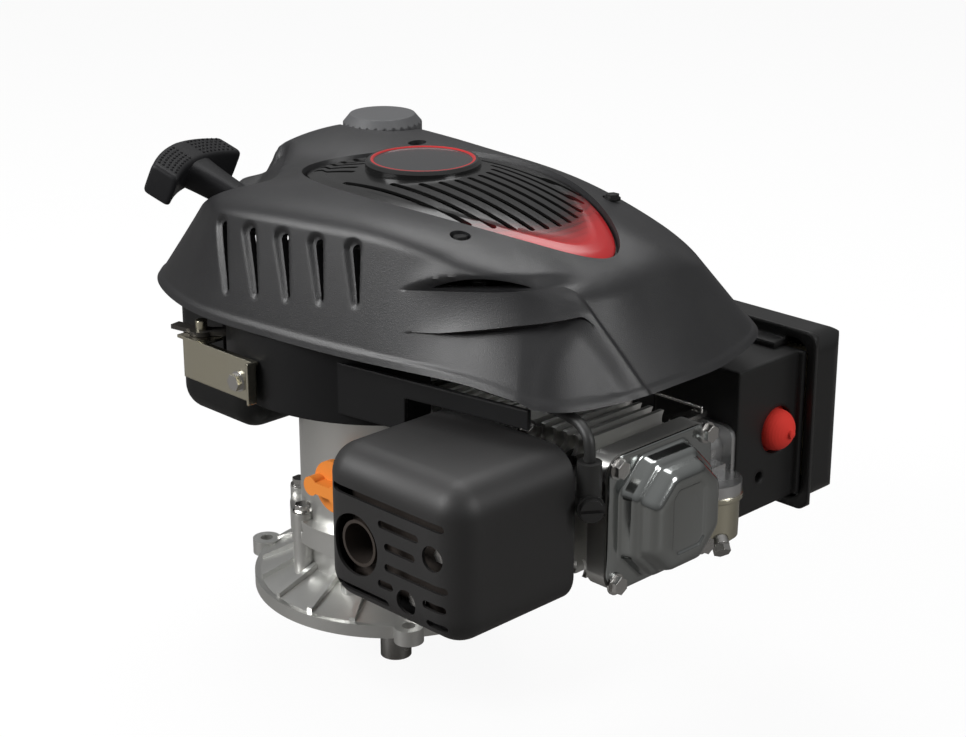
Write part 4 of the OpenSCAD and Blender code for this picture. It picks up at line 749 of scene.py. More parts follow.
@dataclass
class Ignition(SubAssembly):
    """Spark plug, its boot and lead, and the coil."""

    lead_radius: float = 3.5
    lead_row: Row = (
        (49, -86.3, 197.2), (50, -86, 204), (68, -81, 213), (104, -77, 209), (150, -66, 200), (196, -56, 196),
        (220, -55, 193), (232.5, -57.6, 187), (235.2, -58.4, 178), (235.2, -58.4, 172.6))

    def build(self) -> None:
        """Lay the lead from the coil to the boot."""
        curve = smooth_row(self.lead_row, 4)
        lead = cord_piece("plug_lead", curve, self.lead_radius * MM, Finishes.rubber)
        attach(lead, "engine")
        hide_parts("ignition_lead")

    def dress(self) -> None:
        """Give the plug, boot and coil their finishes."""
        dress(Finishes.steel, "spark_plug")
        dress(Finishes.rubber, "plug_boot")
        dress(Finishes.resin, "ignition_coil")


@dataclass
class Exhaust(SubAssembly):
    """Muffler under its slotted guard, a pressed cup with fully rounded corners."""

    low: Point = (113.0, -162.0, 80.0)
    high: Point = (232.0, -67.0, 180.0)
    round: float = 20.0
    wall: float = 2.0
    slot: float = 5.0
    slots: Row = (
        (11, 106, 75), (52, 86, 63), (57, 83, 50), (57, 108, 37), (51, 64, 25), (11, 59, 13),
        (89, 107, 25), (91, 107, 13))
    holes: Row = ((31.6, 42.7, 19.5), (97, 55, 8), (75, 20, 8))
    pierce: Pair = (-1.0, 9.0)
    corner_steps: int = 8
    flat_steps: int = 10
    rim_gap: float = 0.1

    def _cup(self, build: Mesh, inset: float) -> list[Vert]:
        """Lay one side of the cup's wall.

        Args:
            build: mesh to add to.
            inset: how far inside the outer skin.

        Returns:
            The open rim, in order.
        """
        r = self.round - inset
        low = Vector(self.low) + Vector((inset, inset, inset))
        high = Vector(self.high) - Vector((inset, 0, inset))

        def stations(a: float, b: float, both: bool) -> list[float]:
            n, flat = self.corner_steps, self.flat_steps
            first = [a + r * k / n for k in range(n)]
            last = [b - r * k / n for k in reversed(range(n))] if both else [b]
            end = b - r if both else b - self.rim_gap
            return first + [a + r + (end - a - r) * k / flat for k in range(flat + both)] + last

        axes = [stations(low.x, high.x, True), stations(low.y, high.y, False), stations(low.z, high.z, True)]
        ends = [len(axis) - 1 for axis in axes]
        made: dict[tuple[int, int, int], Vert] = {}

        def spot(*key: int) -> Vert:
            if key not in made:
                p = Vector([axes[n][key[n]] for n in range(3)])
                core = Vector((min(max(p.x, low.x + r), high.x - r), max(p.y, low.y + r),
                               min(max(p.z, low.z + r), high.z - r)))
                out = p - core
                made[key] = build.verts.new((core + out.normalized() * r if out.length > 1e-6 else p) * MM)
            return made[key]

        for i in range(ends[0]):
            for k in range(ends[2]):
                build.faces.new((spot(i, 0, k), spot(i + 1, 0, k), spot(i + 1, 0, k + 1), spot(i, 0, k + 1)))
        for j in range(ends[1]):
            for side in (0, ends[0]):
                for k in range(ends[2]):
                    build.faces.new((spot(side, j, k), spot(side, j + 1, k), spot(side, j + 1, k + 1),
                                     spot(side, j, k + 1)))
            for side in (0, ends[2]):
                for i in range(ends[0]):
                    build.faces.new((spot(i, j, side), spot(i + 1, j, side), spot(i + 1, j + 1, side),
                                     spot(i, j + 1, side)))
        rim = [(i, 0) for i in range(ends[0])] + [(ends[0], k) for k in range(ends[2])]
        rim += [(i, ends[2]) for i in range(ends[0], 0, -1)] + [(0, k) for k in range(ends[2], 0, -1)]
        return [spot(i, ends[1], k) for i, k in rim]

    def _openings(self) -> list[Mesh]:
        """Prisms for the slots and round holes of the front face."""
        rows = [slot_row(x0, x1, z, self.slot / 2) for x0, x1, z in self.slots]
        rows += [arc(x, z, radius, 0, 2 * math.pi * 47 / 48, 47) for x, z, radius in self.holes]
        low = Vector(self.low)
        return [prism_mesh(*([low + Vector((x, y, z)) for x, z in row] for y in self.pierce)) for row in rows]

    def build(self) -> None:
        """Press the guard and pierce it."""
        build = bmesh.new()
        outer, inner = self._cup(build, 0.0), self._cup(build, self.wall)
        join_rings(build, [outer, inner], caps=False)
        bmesh.ops.recalc_face_normals(build, faces=build.faces)
        guard = cut_piece("pressed_guard", build, self._openings(), Finishes.guard)
        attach(guard, "engine")
        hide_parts("muffler_guard")

    def dress(self) -> None:
        """Give the muffler and its screws their finishes."""
        dress(Finishes.heat_steel, "muffler")
        dress(Finishes.steel, "guard_screws")


@dataclass
class Tank(SubAssembly):
    """Blown fuel tank with round edges, hollowed for the blower, with its filler neck and spout."""

    low: Point = (-158.0, -66.0, 102.0)
    high: Point = (-72.0, 152.0, 204.0)
    round_edge: float = 19.0
    blower: Pair = (116.0, 154.0)
    rim: float = 76.0
    neck: Pair = (-124.0, 107.0)
    neck_radii: Pair = (20.0, 17.0)
    neck_z: Pair = (196.0, 270.0)
    spout: tuple[Point, Point] = ((-76.0, 92.0, 118.0), (-62.0, 92.0, 118.0))
    spout_radius: float = 4.5
    bore_deep: float = 20.0
    clear_z: Pair = (50.0, 300.0)

    def _upright(self, radius: float, x: float, y: float, z0: float, z1: float) -> Mesh:
        """Upright round rod."""
        return rod_mesh(Vector((x, y, z0)), Vector((x, y, z1)), radius, radius, 128)

    def build(self) -> None:
        """Blow the tank and fit its neck and spout."""
        outer, bore = self.neck_radii
        x, y = self.neck
        z0, z1 = self.neck_z
        radius, step = self.blower
        low, high = self.clear_z
        cuts = [self._upright(radius, 0, 0, step, high), self._upright(self.rim, 0, 0, low, high),
                self._upright(bore, x, y, z0 - self.bore_deep, high)]
        block = soft_box_mesh(Vector(self.low), Vector(self.high), self.round_edge)
        shell = cut_piece("tank_shell", block, cuts, Finishes.tank)
        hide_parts("fuel_tank")
        hole = self._upright(bore, x, y, z0 - 5, z1 + 5)
        neck = cut_piece("tank_neck", self._upright(outer, x, y, z0, z1), [hole], Finishes.tank)
        pipe = rod_mesh(*map(Vector, self.spout), self.spout_radius, self.spout_radius, 24)
        spout = mesh_piece("tank_spout", pipe, Finishes.tank, smooth=False)
        for piece in (shell, neck, spout):
            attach(piece, "engine")


@dataclass
class Intake(SubAssembly):
    """Carburettor, governor rods, air box and fuel line."""

    hose_radius: float = 3.5
    hose_row: Row = (
        (-61.1, 92, 118), (-55, 92, 118), (-20, 95, 116), (40, 95, 114), (110, 96, 108), (146, 93, 102),
        (162, 86.5, 97), (169.5, 83.9, 96), (178, 82.3, 96))

    def build(self) -> None:
        """Lay the hose from the tank to the float bowl."""
        curve = smooth_row(self.hose_row, 4)
        hose = cord_piece("fuel_line", curve, self.hose_radius * MM, Finishes.rubber)
        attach(hose, "engine")
        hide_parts("fuel_hose")

    def dress(self) -> None:
        """Give the intake side its finishes."""
        dress(Finishes.turned, "carburettor")
        dress(Finishes.zinc_yellow, "float_bowl")
        dress(Finishes.steel, "bowl_bolts", "governor_arm", "throttle_shaft", "governor_link")
        dress(Finishes.box, "air_box", "air_cover", "intake_spacer")
        dress(Finishes.cap, "fuel_cap")
        dress(Finishes.paper, "filter_element")
        dress(Finishes.red, "primer_bulb")


@dataclass
class Dome:
    """Crown of the shroud and the egg-shaped outline of its grille panel (millimetres)."""

    centre: Pair = (30.0, 19.0)
    nose: float = 150.0
    tail: float = 115.0
    half: float = 69.0
    crown: float = 300.0
    fall_x: float = 33.0
    fall_y: float = 10.0

    def height(self, x: float, y: float) -> float:
        """Height of the crown over a point."""
        return (self.crown - self.fall_x * ((x - self.centre[0]) / self.nose) ** 2
                - self.fall_y * ((y - self.centre[1]) / self.half) ** 2)

    def egg(self, turn: float, inset: float) -> Pair:
        """Point of the panel outline.

        Args:
            turn: angle round the outline, in radians.
            inset: how far it is moved in.

        Returns:
            Its x and y.
        """
        front = math.cos(turn) > 0
        reach = (self.nose if front else self.tail) - inset
        half = (self.half - inset) * (1 - 0.25 * math.cos(turn) ** 2 if front else 1)
        return self.centre[0] + reach * math.cos(turn), self.centre[1] + half * math.sin(turn)

    def rim(self, turn: float, inset: float, rise: float) -> Vector:
        """Point on the crown over the outline, raised by rise."""
        x, y = self.egg(turn, inset)
        return Vector((x, y, self.height(x, y) + rise))

    def turn_of(self, p: Vector) -> float:
        """Outline angle that faces a point of the skirt."""
        reach = self.nose if p.x > self.centre[0] else self.tail
        return math.atan2((p.y - self.centre[1]) / self.half, (p.x - self.centre[0]) / reach)


@dataclass
class Shroud(SubAssembly):
    """Moulded top shroud: spline skirt, soft shoulders, scooped flank, louvres and a ledge for the panel."""

    dome: Dome = field(default_factory=Dome)
    skirt: Row = (
        (236, 20, 200), (233, 70, 200), (220, 116, 206), (175, 138, 208), (90, 142, 208), (0, 144, 208),
        (-80, 150, 208), (-150, 146, 208), (-174, 95, 208), (-177, 32, 208), (-175, -10, 208),
        (-168, -45, 208), (-150, -80, 207), (-110, -104, 207), (-55, -117, 207), (15, -115, 208),
        (90, -105, 208), (160, -91, 207), (212, -72, 200), (231, -30, 199))
    shoulder: Row = (
        (205, 20, 252), (200, 62, 255), (190, 95, 250), (150, 112, 258), (85, 118, 268), (0, 120, 274),
        (-78, 128, 276), (-135, 128, 276), (-152, 88, 280), (-151, 32, 276), (-148, -6, 260),
        (-140, -36, 252), (-122, -62, 257), (-85, -86, 270), (-45, -102, 274), (20, -98, 277), (88, -86, 277),
        (145, -68, 268), (188, -46, 256), (203, -12, 252))
    fine: int = 44
    coarse: int = 16
    rows: tuple[int, int, int] = (22, 18, 28)
    knee: float = 0.22
    gather: float = 1.6
    step: float = 0.004
    wall: float = 3.0
    recess: float = 6.0
    ledge: float = 9.0
    shelf: Line = (
        (90, 253), (107, 254.5), (126, 257), (178, 261.5), (192, 262.5), (215, 264))
    crease: Line = (
        (100, 229), (138, 234), (161, 238.7), (181, 243), (200, 246), (215, 247))
    hem: float = 0.9
    hem_share: Pair = (0.07, 0.10)
    arch: float = 8.4
    arch_middle: float = 150.0
    arch_half: float = 47.0
    arch_least: float = 0.4
    brow: float = 1.5
    brow_start: float = 0.3
    brow_fade: float = 14.0
    sill: float = 1.6
    sill_fade: float = 9.0
    scoop: float = 5.2
    fold: float = 4.2
    fold_top: float = 0.4
    fold_fade: Pair = (7.0, 13.0)
    lift: float = 2.5
    lift_span: Span = (50, 185, 196, 207)
    inner: Pair = (2.2, 1.4)
    inner_span: Span = (90, 115, 190, 215)
    pocket: tuple[Point, Point, float, float] = ((-102, -34, 0), (-142, 14, 0), 17.0, 8.0)
    pocket_flat: float = 0.45
    pocket_z: Pair = (244, 258)
    corner: float = 3.2
    corner_foot: Point = (-27.0, 253.0, 0.36)
    corner_span: Span = (-18, -1, -1, 3)
    corner_z: Pair = (246, 260)
    corner_x: Pair = (184, 194)
    flank_y: Pair = (-34, -8)
    vent_span: Span = (104, 136, 172, 197)
    vent_x: Pair = (126, 178)
    vent_y: Pair = (-83, -50)
    vent_way: Point = (-0.46, 0.88, 0.0)
    vent_rise: float = 6.6
    vent_low: Pair = (0.5, 0.6)
    vent_reach: Pair = (14.0, 26.0)
    fold_span: Span = (112, 160, 196, 208)
    knot_span: Span = (80, 104, 206, 222)
    louvres: int = 5
    louvre_pitch: Pair = (28.6, 1.4)
    louvre_lean: Pair = (-1.4, 1.8)
    louvre: tuple[Pair, Pair] = ((-45, 266), (14, -36))
    louvre_radii: Pair = (3.6, 1.5)
    louvre_y: Pair = (-140, -80)
    louvre_end: float = 110.0
    dent: tuple[Pair, Pair] = ((-47, 267.5), (14.5, -39))
    dent_wide: Pair = (6.4, 3.4)
    dent_soft: Pair = (-3.0, 0.4)
    dent_deep: Pair = (2.4, 0.9)
    screws: Line = ((119, -50), (119, 88), (-60, 82))
    screw_radii: Pair = (2.2, 6.5)
    cap: Point = (-124.0, 107.0, 62.0)
    cap_z: Pair = (230.0, 330.0)
    pull_root: Point = (-100.0, -45.0, 262.0)
    pull_way: Point = (-0.8556, -0.3182, 0.4083)
    pull_bore: float = 12.4
    pull_cone: Pair = (13.0, 16.0)
    pull_reach: Point = (10.01, 80.0, 61.0)

    @staticmethod
    def _ring(points: Row, steps: list[int]) -> list[Vector]:
        """Closed Catmull-Rom curve through points, with its own number of steps after each."""
        row = [Vector(p) for p in points]
        n = len(row)
        return [spline(row[i - 1], row[i], row[(i + 1) % n], row[(i + 2) % n], k / steps[i])
                for i in range(n) for k in range(steps[i])]

    @staticmethod
    def _along(row: Line, x: float) -> float:
        """Value of a broken line at x."""
        for (x0, z0), (x1, z1) in zip(row, row[1:]):
            if x0 <= x <= x1:
                return z0 + (z1 - z0) * (x - x0) / (x1 - x0)
        return row[0][1] if x < row[0][0] else row[-1][1]

    @staticmethod
    def _span(x: float, a: float, b: float, c: float, d: float) -> float:
        """Soft window along x: 0 before a, 1 from b to c, 0 after d."""
        return smooth_step(a, b, x) * (1 - smooth_step(c, d, x))

    def _louvre_line(self, i: int, place: tuple[Pair, Pair]) -> tuple[Vector, Vector]:
        """Upper and lower middle of a louvre, in x and z.

        Args:
            i: its number from the back.
            place: upper middle of the first one, and the way from there to its lower middle.

        Returns:
            Both points.
        """
        pitch, lean = Vector(self.louvre_pitch), Vector(self.louvre_lean)
        top = Vector(place[0]) + i * pitch
        return top, top + Vector(place[1]) + i * lean

    def _louvre_dent(self, p: Vector) -> float:
        """Depth of the scooped dent round a louvre."""
        (wide, less_wide), (deep, less_deep) = self.dent_wide, self.dent_deep
        dent = 0.0
        for i in range(self.louvres):
            t, far = beside(Vector((p.x, p.z)), *self._louvre_line(i, self.dent))
            gap = far - (wide - less_wide * t)
            dent = max(dent, (1 - smooth_step(*self.dent_soft, gap)) * (deep - less_deep * t))
        return dent

    def _pocket_depth(self, p: Vector) -> float:
        """Depth of the pocket that takes the fingers behind the pull handle."""
        a, b, r, deep = self.pocket
        far = beside(Vector((p.x, p.y, 0)), Vector(a), Vector(b))[1]
        return deep * (1 - smooth_step(self.pocket_flat * r, r, far)) * smooth_step(*self.pocket_z, p.z)

    def _corner_line(self, p: Vector) -> float:
        """Height of the raised line down the front corner."""
        y, z, lean = self.corner_foot
        line = self.corner * self._span(p.y - (y + (z - p.z) * lean), *self.corner_span)
        return line * (1 - smooth_step(*self.corner_z, p.z)) * smooth_step(*self.corner_x, p.x)

    def _relief(self, p: Vector, above: tuple[bool, bool], share: float) -> float:
        """How far the skin stands out of the plain flank.

        Args:
            p: point of the plain flank.
            above: whether it lies above the crease, and above the shelf.
            share: 0 at the skirt's edge, 1 at the shoulder, 2 at the panel.

        Returns:
            Millimetres outwards.
        """
        out = self.hem * (1 - smooth_step(*self.hem_share, share))
        if p.y < 0:
            flank = 1 - smooth_step(*self.flank_y, p.y)
            vent = self._span(p.x, *self.vent_span) * flank
            bow = max(0.0, 1 - ((p.x - self.arch_middle) / self.arch_half) ** 2)
            height = self.arch * bow + self.arch_least
            up = p.z - self._along(self.shelf, p.x)
            if above[1]:
                out -= self.scoop * vent * max(0.0, 1 - max(0.0, up) / height)
                ends = self.brow_start * height, height, height, height + self.brow_fade
                out += self.brow * vent * self._span(up, *ends)
            else:
                out += self.sill * vent * math.exp(min(0.0, up) / self.sill_fade)
            bent = self._span(p.x, *self.fold_span) * flank
            rise = p.z - self._along(self.crease, p.x)
            if above[0]:
                out += self.fold_top * self.fold * bent * math.exp(-max(0.0, rise) / self.fold_fade[0])
            else:
                out -= self.fold * bent * math.exp(min(0.0, rise) / self.fold_fade[1])
            if p.x < self.louvre_end:
                out -= self._louvre_dent(p)
        return out - self._pocket_depth(p) + self._corner_line(p)

    def _knots(self, column: Callable[[float], Vector]) -> Pair:
        """Shares at which one column of the skin meets the crease and the shelf."""
        shares = []
        for row, plain in ((self.crease, 0.5), (self.shelf, 0.92)):
            low, high = 0.05, 1.6
            for _ in range(24):
                middle = (low + high) / 2
                p = column(middle)
                low, high = (middle, high) if p.z < self._along(row, p.x) else (low, middle)
            p = column(low)
            near = self._span(p.x, *self.knot_span) * (1 - smooth_step(*self.flank_y, p.y))
            shares.append(plain + (low - plain) * near)
        return shares[0], shares[1]

    def _shell(self) -> Mesh:
        """Closed shell of the shroud, without its openings."""
        steps = [self.fine if p[1] < 0 else self.coarse for p in self.skirt]
        skirt, shoulder = self._ring(self.skirt, steps), self._ring(self.shoulder, steps)
        n = len(skirt)
        for p in skirt:
            if p.y < 0:
                p.z += self.lift * self._span(p.x, *self.lift_span)
        turns = [self.dome.turn_of(p) for p in shoulder]
        knee = [b + self.knee * (b - a) for a, b in zip(skirt, shoulder)]
        crest = [self.dome.rim(a, 0, 1) for a in turns]

        def bend(i: int, t: float) -> Vector:
            return shoulder[i].lerp(knee[i], t).lerp(knee[i].lerp(crest[i], t), t)

        def column(i: int) -> Callable[[float], Vector]:
            return lambda v: skirt[i].lerp(shoulder[i], v) if v <= 1 else bend(i, v - 1)

        plan = [(part, k / count) for part, count in enumerate(self.rows) for k in range(count + 1)]
        plain: list[list[Vector]] = [[] for _ in plan]
        shares: list[list[float]] = [[] for _ in plan]
        for i in range(n):
            low, high = self._knots(column(i))
            stops = (0.0, low, high, 2.0)
            for row, (part, k) in enumerate(plan):
                nudge = self.step * ((part > 0 and k == 0) - (part < 2 and k == 1))
                way = k ** self.gather if part == 2 else k
                v = stops[part] + (stops[part + 1] - stops[part]) * way + nudge
                plain[row].append(column(i)(v))
                shares[row].append(v)
        shaped = []
        for row, ring in enumerate(plain):
            part = plan[row][0]
            up, down = plain[min(row + 2, len(plain) - 1)], plain[max(row - 2, 0)]
            line = []
            for i, p in enumerate(ring):
                normal = (ring[(i + 1) % n] - ring[i - 1]).cross(up[i] - down[i]).normalized()
                line.append(p + normal * self._relief(p, (part > 0, part > 1), shares[row][i]))
            shaped.append(line)
        rim = [[self.dome.rim(a, d, z) for a in turns]
               for d, z in ((2, -self.recess), (self.ledge, -self.recess),
                            (self.ledge, -self.recess - self.wall))]

        def inwards(p: Vector, drop: float) -> Vector:
            c = Vector((*self.dome.centre, 0))
            v = Vector((p.x, p.y, 0)) - c
            least, more = self.inner
            deep = least + (more * self._span(p.x, *self.inner_span) if p.y < 0 else 0.0)
            q = c + v * (1 - deep * self.wall / v.length)
            return Vector((q.x, q.y, p.z - drop - self._pocket_depth(p)))

        under = [[inwards(bend(i, t), 2 * self.wall * t + 2) for i in range(n)] for t in (0.75, 0.4)]
        inside = [[inwards(skirt[i].lerp(shoulder[i], t), t * self.wall) for i in range(n)] for t in (1, 0.5)]
        lip = [[skirt[i] + (inwards(skirt[i], 0) - skirt[i]) * 0.45 for i in range(n)]]
        rings = shaped + rim + under + inside + lip
        build = bmesh.new()
        rows = [[build.verts.new(p * MM) for p in ring] for ring in rings]
        join_rings(build, rows + rows[:1], caps=False)
        return build

    def _louvre_outline(self, i: int) -> list[Pair]:
        """Teardrop outline of a louvre in x and z."""
        top, low = self._louvre_line(i, self.louvre)
        big, small = self.louvre_radii
        way = top - low
        base, tilt = math.atan2(way.y, way.x), math.asin((big - small) / way.length)
        quarter = math.pi / 2
        return (arc(*top, big, base - quarter - tilt, math.pi + 2 * tilt, 18)
                + arc(*low, small, base + quarter + tilt, math.pi - 2 * tilt, 10))

    def _vent(self) -> Mesh:
        """Half-moon opening over the shelf, as a slanted prism."""
        (x0, x1), (y0, y1), steps = self.vent_x, self.vent_y, 24
        half = (x1 - x0) / 2
        xs = [x0 + (x1 - x0) * k / steps for k in range(steps + 1)]
        low, high = self.vent_low
        row = [(x, self._along(self.shelf, x) + low) for x in xs]
        row += [(x, self._along(self.shelf, x) + high + self.vent_rise * (1 - ((x - x0 - half) / half) ** 2))
                for x in reversed(xs[1:-1])]
        points = [Vector((x, y0 + (y1 - y0) * (x - x0) / (x1 - x0), z)) for x, z in row]
        way, (back, ahead) = Vector(self.vent_way), self.vent_reach
        return prism_mesh([p - back * way for p in points], [p + ahead * way for p in points])

    def _cutters(self) -> list[Mesh]:
        """Solids that open the louvres, the brow vent, the cap, the screws and the pull."""
        cuts = [prism_mesh(*([Vector((x, y, z)) for x, z in self._louvre_outline(i)] for y in self.louvre_y))
                for i in range(self.louvres)]
        cuts.append(self._vent())

        def bore(x: float, y: float, z0: float, z1: float, r: float, sides: int) -> None:
            cuts.append(rod_mesh(Vector((x, y, z0)), Vector((x, y, z1)), r, r, sides))

        x, y, d = self.cap
        bore(x, y, *self.cap_z, d / 2, 64)
        shank, head = self.screw_radii
        for x, y in self.screws:
            z = self.dome.height(x, y) + 1
            bore(x, y, z - 40, z + 20, shank, 20)
            bore(x, y, z, z + 40, head, 40)
        root, way = Vector(self.pull_root), Vector(self.pull_way)
        back, ahead, flare = self.pull_reach
        cuts.append(rod_mesh(root - back * way, root + ahead * way, self.pull_bore, self.pull_bore, 48))
        cuts.append(rod_mesh(root, root + flare * way, *self.pull_cone, 48))
        return cuts

    def build(self) -> None:
        """Mould the shroud and open it."""
        shell = self._shell()
        bmesh.ops.recalc_face_normals(shell, faces=shell.faces)
        skin = cut_piece("shroud_skin", shell, self._cutters(), Finishes.shroud)
        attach(skin, "engine")
        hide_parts("top_shroud")


@dataclass
class Grille(SubAssembly):
    """Gloss panel in the shroud's crown: dished middle, long air slots and the badge seat."""

    dome: Dome = field(default_factory=Dome)
    inset: float = 3.2
    top: float = 2.2
    base: float = 5.4
    dish: float = 1.6
    pitch: float = 10.0
    rows: int = 5
    slot: float = 4.0
    slot_z: Pair = (250.0, 310.0)
    front_gap: float = 36.0
    back_gap: float = 14.0
    badge: Point = (10.0, 22.0, 77.0)
    badge_gap: float = 7.0
    side_start: float = -10.0

    def _plate(self) -> Mesh:
        """Closed plate with the dish, without its openings."""
        steps, build = 144, bmesh.new()
        cx, cy = self.dome.centre
        shares = [1.0, 0.99, 0.94, 0.90, 0.885, 0.87, 0.855, 0.84] + [0.8 - 0.1 * k for k in range(8)]
        tops, lows = [], []
        for k in shares:
            top_row, low_row = [], []
            for j in range(steps):
                x, y = self.dome.egg(2 * math.pi * j / steps, self.inset)
                x, y = cx + k * (x - cx), cy + k * (y - cy)
                z = self.dome.height(x, y)
                edge = 0.7 if k == 1.0 else 0.0
                dip = self.dish * (1 - smooth_step(0.84, 0.89, k))
                top_row.append(build.verts.new(Vector((x, y, z - self.top - edge - dip)) * MM))
                low_row.append(build.verts.new(Vector((x, y, z - self.base)) * MM))
            tops.append(top_row)
            lows.append(low_row)
        z = self.dome.height(cx, cy)
        peak = build.verts.new(Vector((cx, cy, z - self.top - self.dish)) * MM)
        foot = build.verts.new(Vector((cx, cy, z - self.base)) * MM)
        for rows, middle in ((tops, peak), (lows, foot)):
            join_rings(build, rows, caps=False)
            for j in range(steps):
                build.faces.new((rows[-1][j], rows[-1][(j + 1) % steps], middle))
        join_rings(build, [tops[0], lows[0]], caps=False)
        bmesh.ops.recalc_face_normals(build, faces=build.faces)
        return build

    def _slots(self) -> list[Mesh]:
        """Solids that open the air slots and the badge seat."""
        cuts = []
        bx, by, bd = self.badge
        cx, cy = self.dome.centre
        for i in range(-self.rows, self.rows + 1):
            off = i * self.pitch
            y = cy + off
            clear = (bd / 2 + self.badge_gap) ** 2 - (y - by) ** 2
            front = (self.dome.nose - self.front_gap) * math.sqrt(1 - (off / (self.dome.half + 6)) ** 2)
            start = bx + math.sqrt(clear) if abs(y - by) < bd / 2 + 5 else self.side_start
            cuts.append(slot_mesh(start, cx + front - 6, y, self.slot, *self.slot_z))
            if abs(y - by) < bd / 2 - 4:
                back = (self.dome.tail - self.back_gap) * math.sqrt(1 - (off / (self.dome.half + 4)) ** 2)
                cuts.append(slot_mesh(cx - back, bx - math.sqrt(clear), y, self.slot, *self.slot_z))
        cuts.append(rod_mesh(Vector((bx, by, 250)), Vector((bx, by, 330)), bd / 2 + 0.1, bd / 2 + 0.1, 96))
        return cuts

    def build(self) -> None:
        """Mould the panel and open its slots."""
        panel = cut_piece("grille_gloss", self._plate(), self._slots(), PanelFinish())
        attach(panel, "engine")
        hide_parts("grille_panel")

    def dress(self) -> None:
        """Give the badge plate its ringed face."""
        dress(BadgeFinish(), "badge")


@dataclass
class Blower(SubAssembly):
    """Fan housing with a dark sheet of painted shade under its guide plate, and the brake beside it."""

    # A dark rubber sheet as painted shade: it closes the view through to the pale backdrop where only shade
    # shows.
    shade_sheet_x: Pair = (51.0, 149.0)
    shade_sheet_y: Pair = (100.2, 102.2)
    shade_sheet_z: Pair = (129.0, 158.0)
    shade_sheet_round: float = 6.0

    def build(self) -> None:
        """Hang the dark sheet of painted shade."""
        (x0, x1), (z0, z1), r = self.shade_sheet_x, self.shade_sheet_z, self.shade_sheet_round
        row = [(x0, z1), (x1, z1)] + arc(x1 - r, z0 + r, r, 0, -math.pi / 2, 8)
        row += arc(x0 + r, z0 + r, r, -math.pi / 2, -math.pi / 2, 8)
        build = prism_mesh(*([Vector((x, y, z)) for x, z in row] for y in self.shade_sheet_y))
        shade_piece = mesh_piece("painted_shade_sheet", build, Finishes.rubber)
        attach(shade_piece, "engine")

    def dress(self) -> None:
        """Give the housings their finishes."""
        dress(Finishes.housing, "blower_base", "cooling_fan")
        dress(Finishes.tank, "shroud_screws")
        dress(Finishes.zinc_yellow, "brake_bracket")
        dress(Finishes.dark_steel, "brake_lever")
        dress(Finishes.steel, "bracket_bolts")


@dataclass
class Starter(SubAssembly):
    """Recoil starter: frame, pulley, rope, guide and handle."""

    rope_radius: float = 2.0
    rope_row: Row = (
        (-0.04, -40.0, 244), (-43.2, -40.0, 249.7), (-86.31, -39.91, 255.47), (-95.72, -43.41, 259.96),
        (-100, -45, 262))

    def build(self) -> None:
        """Lay the braided rope from the pulley to the handle."""
        curve = smooth_row(self.rope_row, 12)
        rope = mesh_piece("pull_rope", tube_mesh(curve, self.rope_radius * MM), Finishes.rope)
        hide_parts("starter_rope")
        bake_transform(rope)

    def dress(self) -> None:
        """Give the starter its finishes."""
        dress(Finishes.dark_steel, "starter_frame", "starter_cup")
        dress(Finishes.box, "starter_pulley")
        dress(Finishes.steel, "rope_guide")


